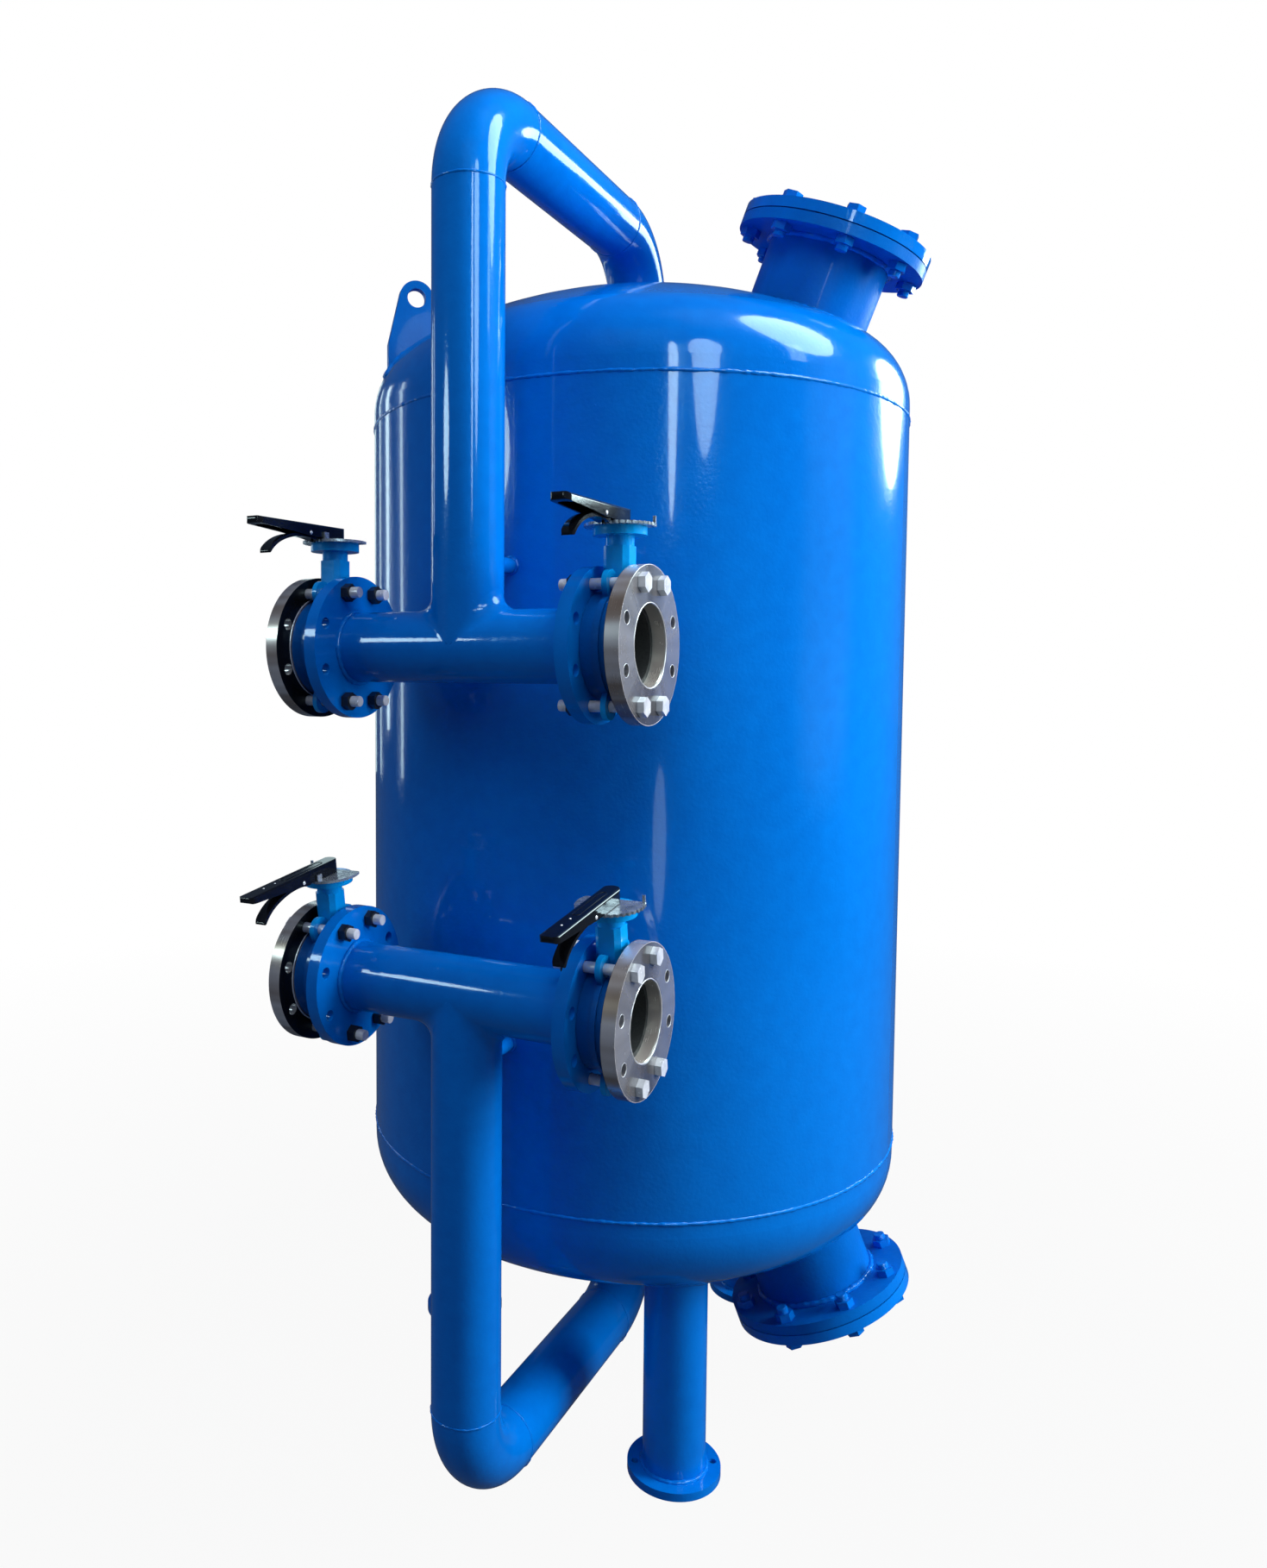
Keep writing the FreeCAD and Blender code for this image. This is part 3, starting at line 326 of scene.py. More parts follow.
def turned(name, light, dark, warm, roughness, metallic, wall=None):
    metal = Finish(name, Metallic=metallic)
    reach, along, across, rise = axis_distance(metal)
    # The fan of light on a turned face is painted sheen: lighter and darker sectors round the axis
    direction = {0: across / reach, 1: rise / reach, 2: along.maths("SIGN") * 3.0}
    painted_sweep = metal.cloud(1.5, 3.0, metal.node("ShaderNodeCombineXYZ", None, direction), 0.55)
    painted_fan = metal.ramp((across / reach).maths("ABSOLUTE"), 0.10, 0.85)
    line = metal.node("ShaderNodeCombineXYZ", None, {0: reach, 1: along, 2: 0.0})
    rings = metal.cloud(900.0, 1.0, line)
    tone = metal.ramp(painted_sweep * 0.70 + painted_fan * 0.28 + rings * 0.02, 0.34, 0.76)
    # The rim gets a painted reflection, in warm and light bands, lighter than the face
    rim_painted_reflection = metal.blend(metal.ramp(painted_sweep, 0.42, 0.58), warm, (0.78, 0.76, 0.74))
    on_rim = metal.ramp(reach, rim_edge - 0.0007, rim_edge - 0.0001)
    colour = metal.blend(on_rim, metal.blend(tone, dark, light), rim_painted_reflection)
    # Warm patches at random blend into the colour
    warm_patches = metal.ramp(metal.cloud(24.0, 5.0, None, 0.65), 0.50, 0.72)
    colour = metal.blend(warm_patches * 0.30, colour, warm)
    # The bore wall gets a painted highlight
    if wall:
        colour = metal.blend(metal.ramp(reach, bore_edge + 0.0003, bore_edge), colour, wall)
    # Painted shade darkens the side toward the valve, outside the seat
    inward = metal.ramp(along.maths("ABSOLUTE"), seat_face + 0.0006, seat_face + 0.0002)
    outside = metal.ramp(reach, seat_edge - 0.0007, seat_edge - 0.0002)
    colour = metal.blend(inward * outside, colour, valve_side_shade)
    shine = metal.ramp(rings, 0.35, 0.65, roughness * 0.92, roughness * 1.08)
    return metal.set(Base_Color=colour, Roughness=shine + warm_patches * 0.05,
                     Normal=metal.bump(rings, 0.000002))


stainless = turned("turned_stainless", light=(0.54, 0.54, 0.55), dark=(0.10, 0.10, 0.11),
                   warm=(0.36, 0.28, 0.22), roughness=0.24, metallic=0.66,
                   wall=(0.80, 0.75, 0.68))
disc_steel = turned("disc_steel", light=(0.16, 0.15, 0.14), dark=(0.05, 0.045, 0.04),
                    warm=(0.10, 0.08, 0.06), roughness=0.34, metallic=0.8)
polished = Finish("polished_edge", Metallic=0.5, Base_Color=(0.86, 0.87, 0.88, 1.0),
                  Roughness=0.22).material
print("made", stainless.name, disc_steel.name, polished.name)

# %% [markdown]
# ## Zinc plate
#
# The valve bolts and the index plates are plated. Zinc grows in spangles, small patches that
# shine differently, so one cloud drives the colour and a finer one drives the roughness. The
# nuts have the bolts' slot and zinc, but painted shade makes them near black where they sit
# between the flanges. A pair of ramps finds them by their distance from the middle of the header.

# %% Make the zinc of the bolts and the plate steel
def plated(name, light, dark, roughness, metallic, nut_shade=None):
    metal = Finish(name, Metallic=metallic)
    tone = metal.ramp(metal.cloud(60.0, 4.0, None, 0.6), 0.35, 0.68)
    shine = metal.ramp(metal.cloud(138.0, 3.0), 0.3, 0.7, roughness * 0.7, roughness * 1.4)
    relief = metal.bump(metal.cloud(360.0, 2.0), 0.00006)
    colour = metal.blend(tone, light, dark)
    if nut_shade:
        # The nuts between the flanges get painted shade, near black
        apart = axis_distance(metal)[1].maths("ABSOLUTE")
        past_face = metal.ramp(apart, nut_face - 0.0004, nut_face)
        before_flange = metal.ramp(apart, flange_back + 0.0010, flange_back + 0.0004)
        colour = metal.blend(past_face * before_flange, colour, nut_shade)
    return metal.set(Base_Color=colour, Roughness=shine, Normal=relief)


zinc = plated("zinc_plate", light=(0.93, 0.97, 0.99), dark=(0.66, 0.71, 0.75), roughness=0.20,
              metallic=0.35, nut_shade=(0.020, 0.024, 0.032))
plate_steel = plated("plate_steel", light=(0.55, 0.62, 0.68), dark=(0.26, 0.31, 0.36),
                     roughness=0.26, metallic=0.70)
print("made", zinc.name, plate_steel.name)

# %% [markdown]
# ## Black enamel, rubber, plastic, sand and gravel
#
# The valve levers are pressed steel in a hard glossy black. The seals are dull rubber. Nobody sees
# the filter bed while the vessel is closed, but a cut model shows it, so sand and gravel get
# their grain too: a Voronoi pattern gives each grain a colour of its own.

# %% Make the dark and the loose materials
def skin_of(name, low, high, scale, depth, roughness, **constants):
    made = Finish(name, Metallic=0.0, **constants)
    grain = made.cloud(scale, 3.0)
    colour = made.blend(made.ramp(grain, 0.35, 0.65), low, high)
    shine = made.ramp(made.cloud(scale * 0.2, 3.0), 0.3, 0.7, roughness * 0.8, roughness * 1.25)
    return made.set(Base_Color=colour, Roughness=shine, Normal=made.bump(grain, depth))


def grains(name, low, high, size, depth):
    made = Finish(name, Metallic=0.0)
    cells = made.cells(1.0 / size)
    tone = made.node("ShaderNodeSeparateColor", None, {"Color": cells.out("Color")})
    colour = made.blend(tone, low, high)
    shine = made.ramp(tone, 0.0, 1.0, 0.6, 0.9)
    return made.set(Base_Color=colour, Roughness=shine, Normal=made.bump(1.0 - cells, depth))


black_enamel = skin_of("black_enamel", low=(0.003, 0.0035, 0.005), high=(0.006, 0.007, 0.009),
                       scale=260.0, depth=0.00003, roughness=0.09, Coat_Weight=0.0,
                       Specular_IOR_Level=0.45)
rubber = skin_of("seal_rubber", low=(0.010, 0.010, 0.011), high=(0.020, 0.020, 0.021),
                 scale=400.0, depth=0.0002, roughness=0.62)
plastic = skin_of("nozzle_plastic", low=(0.50, 0.50, 0.47), high=(0.60, 0.60, 0.57),
                  scale=120.0, depth=0.0001, roughness=0.42)
sand = grains("filter_sand", low=(0.36, 0.25, 0.13), high=(0.66, 0.52, 0.34),
              size=0.0022, depth=0.0012)
gravel = grains("filter_gravel", low=(0.20, 0.18, 0.16), high=(0.52, 0.48, 0.42),
                size=0.011, depth=0.006)
print("made", black_enamel.name, rubber.name, plastic.name, sand.name, gravel.name)

# %% [markdown]
# ## A finish for each node
#
# The record gives each node a material slot, and each slot has one finish here. The necks of the
# hand holes and the lifting lugs share the blue slot, but their paint is duller, and darker as painted
# shade.

# %% Give every CAD node its finish
finishes = {"blue_enamel": blue_enamel, "valve_enamel": valve_enamel, "stainless": stainless,
            "disc_steel": disc_steel, "black_enamel": black_enamel, "plate_steel": plate_steel,
            "zinc": zinc, "seal_rubber": rubber, "filter_sand": sand, "filter_gravel": gravel,
            "nozzle_plastic": plastic}
slot_of = {part["node"]: part["material_slot"] for part in frame["record"]["subparts"]}
for name, thing in frame["nodes"].items():
    dull_and_shaded = name.endswith(("_hatch_neck", "_lifting_lug"))
    for slot in thing.material_slots:
        slot.material = shaded_neck_enamel if dull_and_shaded else finishes[slot_of[name]]
print("finished nodes:", len(slot_of))

# %% [markdown]
# ## Helpers for new pieces
#
# A Blender operator acts on all that is selected, so each step first selects just its own piece.
# A finished piece gets one material and a body to ride on.

# %% Select a piece, and hand a finished one to its body
def deselect():
    bpy.ops.object.select_all(action="DESELECT")


def pick(*things):
    deselect()
    for thing in things:
        thing.select_set(True)
    bpy.context.view_layer.objects.active = things[0]
    return things[0]


def hand_over(thing, material, body):
    thing.data.materials.clear()
    thing.data.materials.append(material)
    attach(thing, body)
    print(thing.name, len(thing.data.polygons), "faces")
    return thing


def finish_piece(name, pieces, material, body="vessel", smooth=35):
    pick(*pieces)
    if len(pieces) > 1:
        bpy.ops.object.join()
    thing = bpy.context.object
    bpy.ops.object.transform_apply(location=True, rotation=True, scale=True)
    thing.name = name
    bpy.ops.object.shade_smooth_by_angle(angle=radians(smooth))
    return hand_over(thing, material, body)


print("helpers ready")

# %% Draw round tubes along closed lines
def tubes(name, lines, thickness):
    # A line is a list of places, each with the tube's relative radius there
    curve = bpy.data.curves.new(name, "CURVE")
    curve.dimensions = "3D"
    curve.bevel_depth = thickness
    curve.bevel_resolution = 2
    for line in lines:
        spline = curve.splines.new("POLY")
        spline.points.add(len(line) - 1)
        spline.use_cyclic_u = True
        for index, (place, swell) in enumerate(line):
            spline.points[index].co = (*place, 1.0)
            spline.points[index].radius = swell
    thing = bpy.data.objects.new(name, curve)
    bpy.context.collection.objects.link(thing)
    pick(thing)
    bpy.ops.object.convert(target="MESH")
    return bpy.context.object


print("tubes ready")

# %% [markdown]
# ## Weld beads
#
# Every joint of the vessel is welded, and the bead shows through the paint as a raised, rippled
# line. A bead could be a bump in the paint, but then it has no outline and catches no light of its
# own. Here it is a real tube along the joint, half sunk in the steel, whose thickness rises and
# falls with each ripple. The line of a joint between a pipe and a head has no simple formula, so
# rays are cast along the pipe's wall until they land on the head.

# %% Rays that find where a tube lands
def surface(node):
    mesh = frame["nodes"][node].data
    points = [vertex.co.copy() for vertex in mesh.vertices]
    return BVHTree.FromPolygons(points, [list(face.vertices) for face in mesh.polygons])


def across_axes(along):
    other = up if abs(along.z) < 0.9 else right
    first = along.cross(other).normalized()
    return first, along.cross(first).normalized()


def ring_line(centre, along, radius, count=240):
    first, second = across_axes(along)
    turns = [2 * pi * step / count for step in range(count)]
    return [centre + (first * cos(turn) + second * sin(turn)) * radius for turn in turns]


def landing_line(tree, start, along, radius, count=240):
    found = [tree.ray_cast(point, along)[0] for point in ring_line(start, along, radius, count)]
    return [place for place in found if place]


print("rays ready")

# %% Walk along a closed line in even steps
def evenly(line, step):
    closed = line + [line[0]]
    lengths = [(after - before).length for before, after in zip(closed, closed[1:])]
    total = sum(lengths)
    count = max(int(total / step), 12)
    points, index, passed = [], 0, 0.0
    for number in range(count):
        goal = total * number / count
        while passed + lengths[index] < goal:
            passed += lengths[index]
            index += 1
        share = (goal - passed) / lengths[index]
        points.append(closed[index].lerp(closed[index + 1], share))
    return points


print("a metre in steps of 4 mm:", len(evenly([up * 0.0, up * 0.5], 0.004)), "points")

# %% A bead of weld along a closed line
ripples = (0.12, 0.0, -0.10, 0.02)


def drift_at(place):
    # Three fixed clouds, read far apart, give the three parts, and the same ones in each run
    return Vector([noise.noise(place + up * shift) for shift in (0, 40, 80)])


def bead(name, lines, thickness, step=0.004):
    beads = []
    for number, line in enumerate(lines):
        places = []
        for index, point in enumerate(evenly(line, step)):
            lump = noise.noise(point * 60.0 + Vector((number, 7.0, 3.0)))
            wander = drift_at(point * 35.0) * thickness * 0.16
            places.append((point + wander, 1.0 + ripples[index % 4] + 0.30 * lump))
        beads.append(places)
    thing = tubes(name, beads, thickness)
    bpy.ops.object.shade_smooth()
    return hand_over(thing, weld_enamel, "vessel")


# The head seams are sunk a little, so that only the crown of the bead stands out
seam_radius = vessel_radius - 0.0015
shell_lines = [ring_line(Vector((0, 0, height)), up, seam_radius, 720) for height in seam_heights]
bead("head_seam_welds", shell_lines, thickness=0.0034)

# %% Butt welds of the pipe bends
butt_radius = pipe_radius - 0.0008
bend_lines = []
for where in ("upper", "lower"):
    riser_end = end_of(where + "_riser", 2, where == "upper")
    bend_lines.append(ring_line(Vector((0, manifold_y, riser_end)), up, butt_radius))
    crossover_z = middle(where + "_crossover").z
    for is_rear in (False, True):
        centre = Vector((0, end_of(where + "_crossover", 1, is_rear), crossover_z))
        bend_lines.append(ring_line(centre, rearward, butt_radius))
bead("bend_welds", bend_lines, thickness=0.0021, step=0.003)

# %% Fillet welds where the headers meet their flanges
fillet_lift = 0.001
flange_lines = []
for height in header_heights.values():
    for turn in (-1, 1):
        centre = Vector((turn * (flange_back - fillet_lift), manifold_y, height))
        flange_lines.append(ring_line(centre, right, pipe_radius + fillet_lift))
bead("flange_welds", flange_lines, thickness=0.0040, step=0.0035)

# %% [markdown]
# ## Rounded crotches of the tees
#
# The riser leaves the header through a pressed tee, whose inner corners are smooth and round. Where
# a ball rolls along both pipes at once, it touches each of them in a line, and the skin between
# the two lines has the ball's radius. Two pipes of one size meet in two such corners, one on each
# side, so one corner is worked out and then mirrored.

# %% Round the crotches of the formed tees
crotch_radius = 0.030
crotch_end = radians(88)
crotch_steps = 48
arc_steps = 8
inside_radius = pipe_radius - 0.001


def crotch_loop(turn, way, sign):
    # A closed loop: the ball's arc from the header to the riser, and back through the steel
    reach = pipe_radius + crotch_radius
    centre = Vector((reach * cos(turn), reach * sin(turn), reach * cos(turn)))
    to_header = Vector((0, -sin(turn), -cos(turn)))
    to_riser = Vector((-cos(turn), -sin(turn), 0))
    loop = [centre + to_header.slerp(to_riser, step / arc_steps).normalized() * crotch_radius
            for step in range(arc_steps + 1)]
    loop.append(Vector((cos(turn), sin(turn), cos(turn))) * inside_radius)
    return [Vector((sign * point.x, manifold_y + point.y, way * point.z)) for point in loop]


def crotch(where, way, sign):
    origin = Vector((0, 0, header_heights[where]))
    points = []
    for row in range(crotch_steps + 1):
        turn = crotch_end * (2 * row / crotch_steps - 1)
        points.extend(origin + point for point in crotch_loop(turn, way, sign))
    size = arc_steps + 2
    faces = [[row * size + place, row * size + (place + 1) % size,
              (row + 1) * size + (place + 1) % size, (row + 1) * size + place]
             for row in range(crotch_steps) for place in range(size)]
    faces.append(list(range(size))[::-1])
    faces.append([crotch_steps * size + place for place in range(size)])
    mesh = bpy.data.meshes.new("crotch")
    mesh.from_pydata(points, [], faces)
    thing = bpy.data.objects.new("crotch", mesh)
    bpy.context.collection.objects.link(thing)
    pick(thing)
    bpy.ops.object.mode_set(mode="EDIT")
    bpy.ops.mesh.select_all(action="SELECT")
    bpy.ops.mesh.normals_make_consistent(inside=False)
    bpy.ops.object.mode_set(mode="OBJECT")
    return thing


crotches = [crotch(where, way, sign)
            for where, way in (("upper", 1), ("lower", -1)) for sign in (-1, 1)]
finish_piece("tee_crotches", crotches, blue_enamel, smooth=80)

# %% [markdown]
# ## Welds on the heads and the shell
#
# These joints lie on curved plate. Each line starts as a ring or a rectangle in the open and falls
# along a straight direction until it lands. The stays are short rods between a riser and the
# shell, so their rings are cast both ways.

# %% Fillet welds of the hand hole necks, the vertical pipes and the legs
head_fillet_lift = 0.002
neck_weld_radius = hatch_neck_radius + head_fillet_lift
neck_flange_back = 0.0205
neck_lines, entry_lines = [], []
for where, head, way in (("upper", "top_head", -1), ("lower", "bottom_head", 1)):
    head_skin = surface(head)
    seat, out = hatch_axis(where)
    neck_lines.append(landing_line(head_skin, seat, -out, neck_weld_radius))
    neck_lines.append(ring_line(seat - out * neck_flange_back, out, neck_weld_radius))
    start = Vector((0, 0, middle(where + "_crossover").z))
    entry_lines.append(landing_line(head_skin, start, up * way, pipe_radius + head_fillet_lift))
leg_lines, foot_lines = [], []
bottom_skin = surface("bottom_head")
for word in ("front", "rear", "left"):
    base = middle(word + "_foot")
    base.z = end_of(word + "_foot", 2, True)
    leg_lines.append(landing_line(bottom_skin, base, up, pipe_radius + fillet_lift))
    foot_lines.append(ring_line(base, up, pipe_radius + fillet_lift))
bead("neck_welds", neck_lines, thickness=0.0055)
bead("entry_welds", entry_lines, thickness=0.0050, step=0.0035)
bead("leg_top_welds", leg_lines, thickness=0.0045, step=0.0035)
bead("foot_welds", foot_lines, thickness=0.0042, step=0.0035)

# %% Welds round the lifting lugs
lug_half_long = 0.054
lug_half_thick = 0.0095


def slab_line(centre, radial, half_long, half_thick, count=40):
    tangent = up.cross(radial)
    corners = [centre + radial * (half_long * first) + tangent * (half_thick * second)
               for first, second in ((1, 1), (-1, 1), (-1, -1), (1, -1))]
    line = []
    for start, end in zip(corners, corners[1:] + corners[:1]):
        line.extend(start.lerp(end, step / count) for step in range(count))
    return line


top_skin = surface("top_head")
lug_lines = []
for word in ("left", "right"):
    place = middle(word + "_lifting_lug")
    radial = Vector((place.x, place.y, 0)).normalized()
    edge = slab_line(place + up * 0.3, radial, lug_half_long, lug_half_thick)
    fallen = [top_skin.ray_cast(point, -up)[0] for point in edge]
    lug_lines.append([point for point in fallen if point])
bead("lug_welds", lug_lines, thickness=0.0045)

# %% Welds at both ends of the riser stays
shell_skin = surface("shell")
stay_radius = span("riser_stays").x / 2
stay_weld_radius = stay_radius + fillet_lift / 2
stay_y = middle("riser_stays").y
stay_heights = {"upper": end_of("riser_stays", 2, True) - stay_radius,
                "lower": end_of("riser_stays", 2, False) + stay_radius}
stay_lines = []
for where, height in stay_heights.items():
    start = Vector((0, stay_y, height))
    for skin, way in ((shell_skin, 1), (surface(where + "_riser"), -1)):
        stay_lines.append(landing_line(skin, start, rearward * way, stay_weld_radius, 60))
bead("stay_welds", stay_lines, thickness=0.0032, step=0.003)

# %% [markdown]
# ## Threads
#
# A bolt end is a plain cylinder in the CAD model, since a thread there would only slow it down.
# Here each end gets a ribbed sleeve. A cylinder's upright edges are cut into many rings, every
# second ring is drawn in, and the last one makes the chamfer.

# %% A ribbed sleeve for the end of a bolt
def thread(start, along, radius, length, pitch):
    turn = along.to_track_quat("Z", "Y").to_euler()
    deselect()
    bpy.ops.mesh.primitive_cylinder_add(vertices=20, radius=radius, depth=length,
                                        location=start + along * length / 2, rotation=turn)
    thing = bpy.context.object
    bpy.ops.object.mode_set(mode="EDIT")
    mesh = bmesh.from_edit_mesh(thing.data)
    count = int(round(length / pitch)) * 2
    uprights = [edge for edge in mesh.edges
                if abs(edge.verts[0].co.z - edge.verts[1].co.z) > length / 2]
    bmesh.ops.subdivide_edges(mesh, edges=uprights, cuts=count - 1, use_grid_fill=True)
    for vertex in mesh.verts:
        ring = round((vertex.co.z + length / 2) / (length / count))
        if ring == count:
            vertex.co.xy = vertex.co.xy * 0.88
        elif ring % 2:
            vertex.co.xy = vertex.co.xy * (1.0 - 0.25 * pitch / radius)
    bmesh.update_edit_mesh(thing.data)
    bpy.ops.object.mode_set(mode="OBJECT")
    return thing


threads = []
for where in header_heights:
    for turn in (-1, 1):
        for angle in bolted_angles:
            forward, rise = bolt_circle * sin(angle), bolt_circle * cos(angle)
            start = valve_point(where, turn * nut_face, forward, rise)
            threads.append(thread(start, -right * turn, radius=0.0085, length=0.0142, pitch=0.002))
finish_piece("valve_bolt_threads", threads, zinc, smooth=20)

# %% Threads of the hand hole bolts
hatch_threads = []
for where in ("upper", "lower"):
    seat, out = hatch_axis(where)
    nuts = [vertex.co for vertex in frame["nodes"]["hatch_nuts"].data.vertices
            if (vertex.co.z > half_height) == (where == "upper")]
    deepest = min((point - seat).dot(out) for point in nuts)
    lean = Vector((out.x, out.y, 0)).normalized()
    radial = (lean - out * lean.dot(out)).normalized()
    for angle in hole_angles:
        spoke = Matrix.Rotation(angle, 3, out) @ radial
        start = seat + spoke * hatch_circle + out * deepest
        hatch_threads.append(thread(start, -out, radius=0.0105, length=0.0092, pitch=0.0023))
finish_piece("hatch_bolt_threads", hatch_threads, weld_enamel, smooth=20)

# %% [markdown]
# ## Bright edges of the turned flanges
#
# A lathe leaves each edge with a tiny chamfer of bare metal, and it catches the light. A thin ring
# lies in every such edge: round the bore, round the rim, round each open hole and round the seat
# on the side toward the valve.

# %% Lay the bright rings in the edges
hole_edge = 0.0092


def edge_ring(centre, radius, thickness, turns):
    deselect()
    bpy.ops.mesh.primitive_torus_add(major_radius=radius, minor_radius=thickness,
                                     location=centre, rotation=(0, pi / 2, 0),
                                     major_segments=turns, minor_segments=8)
    return bpy.context.object


for where in header_heights:
    for word, way in (("left", -1), ("right", 1)):
        flange = f"{where}_{word}_counter_flange"
        face = end_of(flange, 0, way > 0)
        near_face = valve_point(where, face - way * 0.0006, 0, 0)
        rings = [edge_ring(near_face, radius=bore_edge, thickness=0.0010, turns=96),
                 edge_ring(near_face, radius=rim_edge, thickness=0.0007, turns=128)]
        for angle in open_angles:
            forward, rise = bolt_circle * sin(angle), bolt_circle * cos(angle)
            place = valve_point(where, face - way * 0.0004, forward, rise)
            rings.append(edge_ring(place, radius=hole_edge, thickness=0.0006, turns=32))
        near_seat = valve_point(where, face - way * 0.0208, 0, 0)
        rings.append(edge_ring(near_seat, radius=seat_edge, thickness=0.0011, turns=96))
        finish_piece(f"{where}_{word}_flange_edges", rings, polished, smooth=60)

# %% [markdown]
# ## Rivets and the pressed outline on each lever
#
# Each lever is a pressed channel. A long oval is pressed into its grip, two small rivets sit near
# its end, and a larger rivet on each cheek holds the trigger's pivot. They ride on the lever's
# body, so they turn with it. Rays cast down on the lever find the height of its back.

# %% Add the rivets and the outline
outline_near = -0.022
outline_far = -0.105
outline_half = 0.0055
rivet_places = (-0.125, -0.150)
pivot_forward = -0.076
pivot_rise = 0.172
cheek = 0.0138
above_lever = 0.25


def dome(centre, along, radius, height):
    deselect()
    turn = along.to_track_quat("Z", "Y").to_euler()
    bpy.ops.mesh.primitive_uv_sphere_add(segments=20, ring_count=12, radius=radius,
                                         location=centre, rotation=turn,
                                         scale=(1, 1, height / radius))
    return bpy.context.object


def stadium(near, far, half, count=16):
    ends = []
    for centre, base in ((far, pi), (near, 0.0)):
        for step in range(count + 1):
            angle = base + pi * step / count
            ends.append((half * cos(angle), centre + half * sin(angle)))
    return ends


for where in header_heights:
    stem = stem_axes[where]
    for word in ("left", "right"):
        body = f"{where}_{word}_handle"
        lever = f"{where}_{word}_lever"
        x = middle(lever).x
        skin = surface(lever)

        def on_back(across, forward):
            return skin.ray_cast(valve_point(where, x + across, forward, above_lever), -stem)[0]

        outline = [(on_back(across, forward) - stem * 0.0002, 1.0)
                   for across, forward in stadium(outline_near, outline_far, outline_half)]
        pressed = tubes(lever + "_outline", [outline], thickness=0.0009)
        finish_piece(lever + "_outline", [pressed], black_enamel, body)
        rivets = [dome(on_back(0.0, forward), stem, radius=0.0016, height=0.0008)
                  for forward in rivet_places]
        for way in (-1, 1):
            centre = valve_point(where, x + way * cheek, pivot_forward, pivot_rise)
            rivets.append(dome(centre, right, radius=0.0030, height=0.0016))
        finish_piece(lever + "_rivets", rivets, zinc, body)

# %% [markdown]
# ## Floor and world
#
# The photograph was taken in a bright studio on a white ground. The floor is a dark plane that
# barely lights the object, but the camera and mirror rays see it nearly white, and near the feet
# it keeps a little of the object's shadow. The world is white to the camera and a dim blue to all
# other rays, and that blue fills the shadows.

# %% Add the floor
deselect()
bpy.ops.mesh.primitive_plane_add(size=60.0, location=(0, 0, 0))
floor = bpy.context.object
floor.name = "studio_floor"
ground = Finish("studio_floor", Roughness=0.8)
tint = ground.blend(ground.cloud(1.5, 3.0), (0.09, 0.09, 0.09), (0.11, 0.11, 0.11))
ground.set(Base_Color=tint)
path = ground.node("ShaderNodeLightPath")
seen = path.out("Is Camera Ray")
mirrored = path.out("Is Glossy Ray")
shade = ground.blend(seen, (0.45, 0.65, 1.0), (1.0, 1.0, 1.0))
shown = ground.node("ShaderNodeEmission", None, {"Color": shade, "Strength": seen * 0.90 + 0.10})
far = ground.node("ShaderNodeVectorMath", {"operation": "LENGTH"}, {0: ground.place()})
fade = ground.ramp(far.out("Value"), 1.0, 4.0, 0.94, 1.0)
mixing = ground.node("ShaderNodeMixShader", None, {0: seen * fade + mirrored * 0.9})
ground.tree.links.new(ground.shader.outputs[0], mixing.box.inputs[1])
ground.tree.links.new(shown.socket, mixing.box.inputs[2])
ground.tree.links.new(mixing.socket, ground.tree.nodes["Material Output"].inputs["Surface"])
floor.data.materials.append(ground.material)
print("floor ready")


# %% Add the world
class Sky(Finish):
    def __init__(self, name):
        self.material = bpy.data.worlds.new(name)
        self.material.use_nodes = True
        self.tree = self.material.node_tree
        self.shader = self.tree.nodes["Background"]


sky = Sky("studio_world")
bpy.context.scene.world = sky.material
ray = sky.node("ShaderNodeLightPath")
mirrored = ray.out("Is Glossy Ray")
through = ray.out("Is Transmission Ray")
sky.set(Color=sky.blend(mirrored, (0.44, 0.55, 1.0), (0.22, 0.31, 0.48)))
sky.set(Strength=mirrored * 0.01 + through * 0.9 + 0.25)
backdrop = sky.node("ShaderNodeBackground", None, {"Color": (1.0, 1.0, 1.0, 1.0), "Strength": 1.0})
both = sky.node("ShaderNodeMixShader", None, {0: ray.out("Is Camera Ray")})
sky.tree.links.new(sky.shader.outputs[0], both.box.inputs[1])
sky.tree.links.new(backdrop.socket, both.box.inputs[2])
sky.tree.links.new(both.socket, sky.tree.nodes["World Output"].inputs["Surface"])
print("world ready")

# %% [markdown]
# ## Lamps
#
# One broad lamp lights the vessel's right side, and weaker ones fill the rest. What makes enamel
# look wet is its reflections, and in the photograph they are soft patches on the heads and long
# narrow lines on the shell and the pipes. Two kinds of lamp keep the two jobs apart: a soft lamp
# lights the paint and shows in no reflection, and a gloss lamp shows only as a reflection.
# Each stands at an azimuth and an elevation around the vessel, in degrees, and faces it.

# %% Add the lamps
lamp_aim = Vector((0, 0, 1.15))
gloss_colour = (0.74, 0.97, 1.0)


def lamp(name, at, away, size, power, kind, shape="RECTANGLE"):
    turn, lift = (radians(angle) for angle in at)
    direction = Vector((sin(turn) * cos(lift), -cos(turn) * cos(lift), sin(lift)))
    data = bpy.data.lights.new(name, "AREA")
    data.shape = shape
    data.size, data.size_y = size
    data.energy = power
    if kind == "gloss":
        data.color = gloss_colour
    thing = bpy.data.objects.new(name, data)
    thing.location = lamp_aim + direction * away
    thing.rotation_euler = (-direction).to_track_quat("-Z", "Y").to_euler()
    thing.visible_glossy = kind != "soft"
    thing.visible_diffuse = kind != "gloss"
    bpy.context.collection.objects.link(thing)


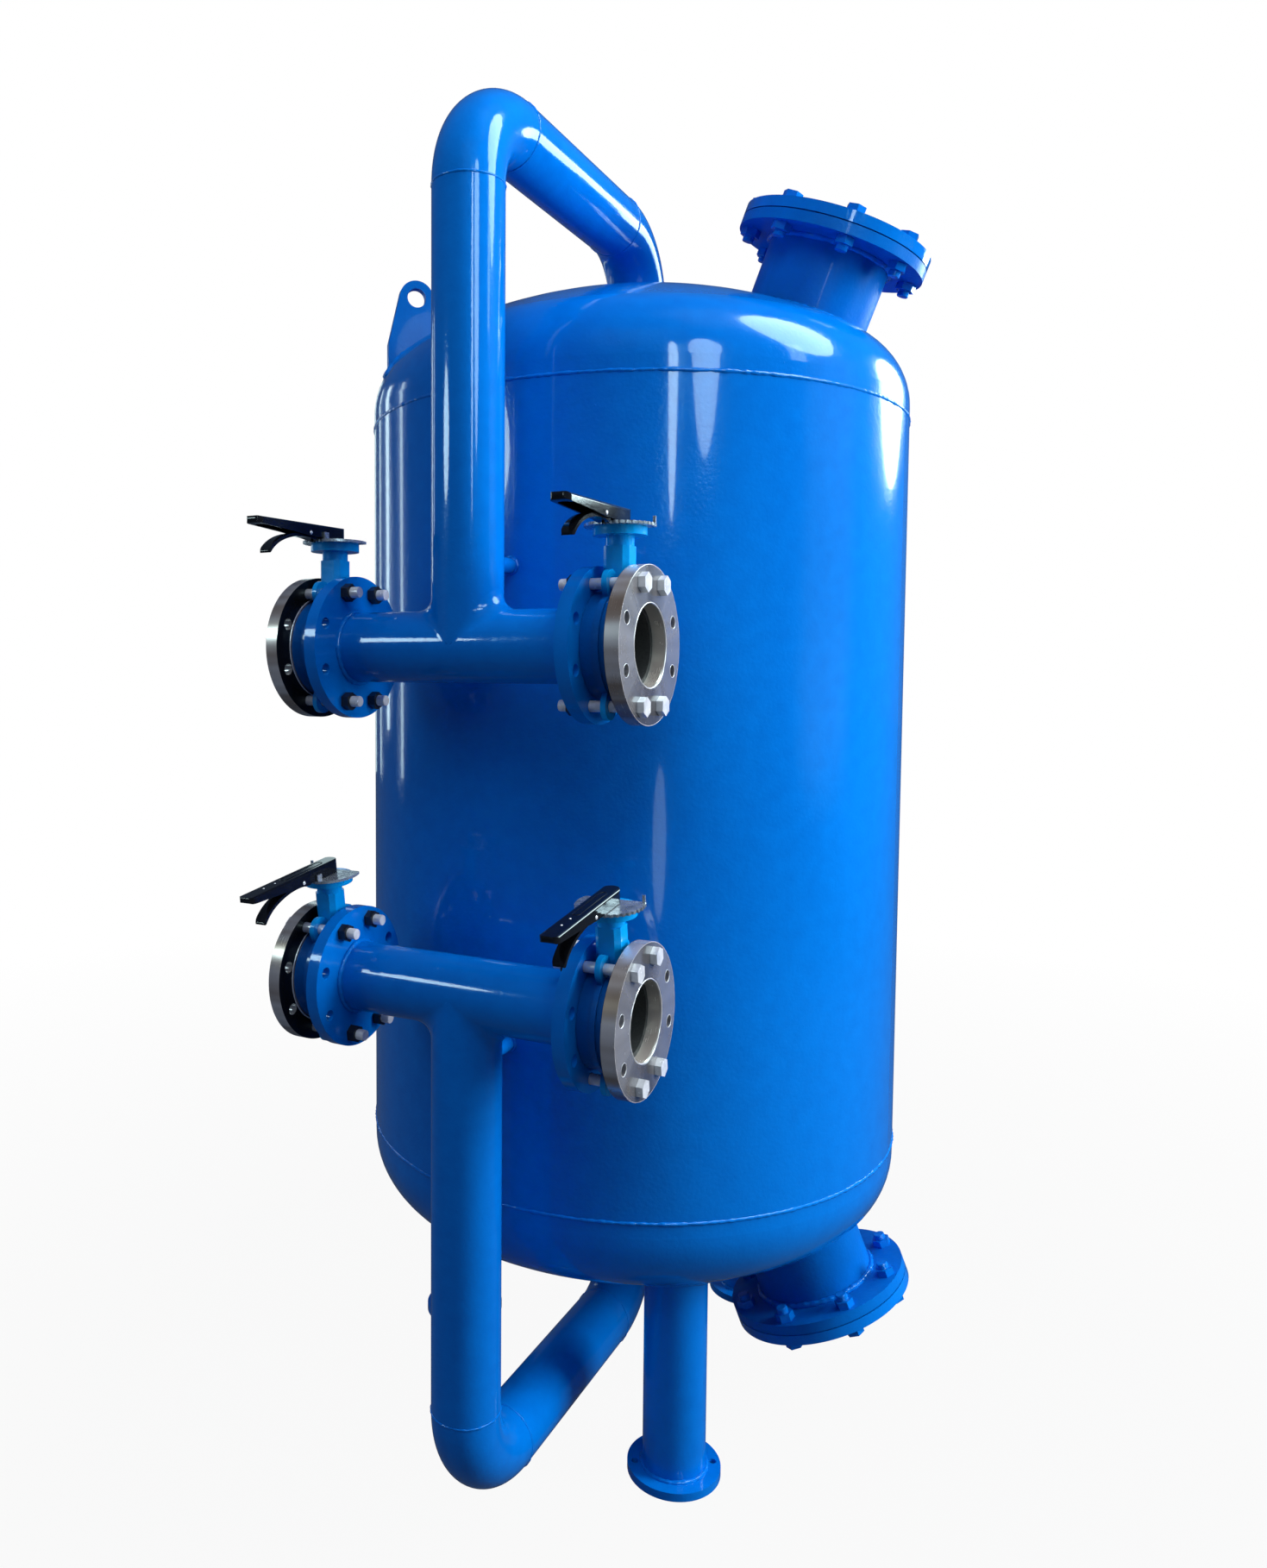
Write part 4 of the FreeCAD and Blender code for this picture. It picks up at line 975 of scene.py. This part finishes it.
# Soft lamps: the main light from the right, then the weaker ones
lamp("broad_right", at=(101, 16), away=3.6, size=(1.5, 2.6), power=190, kind="soft")
lamp("high_fill", at=(70, 66), away=3.4, size=(1.4, 1.4), power=56, kind="soft")
lamp("front_fill", at=(22, 44), away=2.8, size=(1.2, 1.0), power=14, kind="soft")
lamp("left_front_fill", at=(-42, 12), away=3.4, size=(1.2, 1.2), power=11, kind="soft")
lamp("rear_fill", at=(147, 27), away=3.6, size=(1.3, 0.75), power=50, kind="soft")
lamp("left_fill", at=(-95, 14), away=3.6, size=(1.0, 1.8), power=28, kind="soft")

# Soft-edged patches on the top head, the shell's right edge, its front and the headers
lamp("dome_box", at=(95, 49), away=3.4, size=(1.45, 2.10), power=120, kind="gloss", shape="ELLIPSE")
lamp("rear_box", at=(143, 26), away=3.6, size=(1.5, 1.2), power=62, kind="gloss", shape="ELLIPSE")
lamp("window_front", at=(48, 28), away=4.2, size=(0.80, 1.7), power=42, kind="gloss", shape="ELLIPSE")
lamp("strip_front", at=(36, 24), away=4.2, size=(0.24, 1.7), power=20, kind="gloss", shape="ELLIPSE")
lamp("low_window", at=(33, -8), away=4.0, size=(0.34, 0.7), power=2, kind="gloss", shape="ELLIPSE")
lamp("header_strip", at=(-32, 19), away=3.4, size=(0.80, 0.50), power=20, kind="gloss", shape="ELLIPSE")

# Narrow lines on the riser and on the left edge of the shell
lamp("riser_box", at=(86, 32), away=4.1, size=(0.45, 0.9), power=8, kind="gloss")
lamp("strip_left", at=(-86, 12), away=3.4, size=(0.14, 2.0), power=5, kind="gloss")
lamp("window_left", at=(-101, 14), away=3.4, size=(0.22, 1.8), power=6, kind="gloss")
lamp("strip_far_left", at=(-113, 12), away=3.4, size=(0.08, 2.0), power=2, kind="gloss")
lamp("edge_left", at=(-128, 12), away=3.4, size=(0.20, 2.0), power=2, kind="gloss")
print("lamps:", len(bpy.data.lights))

# %% [markdown]
# ## Camera
#
# The camera's place and turn were worked out from the photograph: the pipes, the flanges and the
# weld seams have to fall on their own pictures. The picture was cropped off centre, so the shift
# moves the optical axis to where it was in the whole frame.

# %% Add the camera at the photograph's place
photo_width, photo_height = 1469, 1818
focal_pixels = 1314.7
axis_column, axis_row = 607.0, 856.1
sensor_width = 36.0
yaw, pitch, roll = radians(28.272), radians(3.345), radians(0.288)
camera_data = bpy.data.cameras.new("photo_camera")
camera = bpy.data.objects.new("photo_camera", camera_data)
bpy.context.collection.objects.link(camera)
view = Vector((-sin(yaw) * cos(pitch), cos(yaw) * cos(pitch), -sin(pitch)))
camera_place = Matrix.Translation((0.8725, -2.0797, 1.3730))
turned_to = view.to_track_quat("-Z", "Y").to_matrix().to_4x4()
camera.matrix_world = camera_place @ turned_to @ Matrix.Rotation(roll, 4, "Z")
camera_data.sensor_fit = "HORIZONTAL"
camera_data.sensor_width = sensor_width
camera_data.lens = sensor_width * focal_pixels / photo_width
camera_data.shift_x = (photo_width / 2 - axis_column) / photo_width
camera_data.shift_y = -(photo_height / 2 - axis_row) / photo_width
camera_data.clip_start = 0.05
camera_data.clip_end = 200.0
bpy.context.scene.camera = camera
bpy.context.scene.view_settings.view_transform = "Standard"
print("camera lens", round(camera_data.lens, 2), "mm")
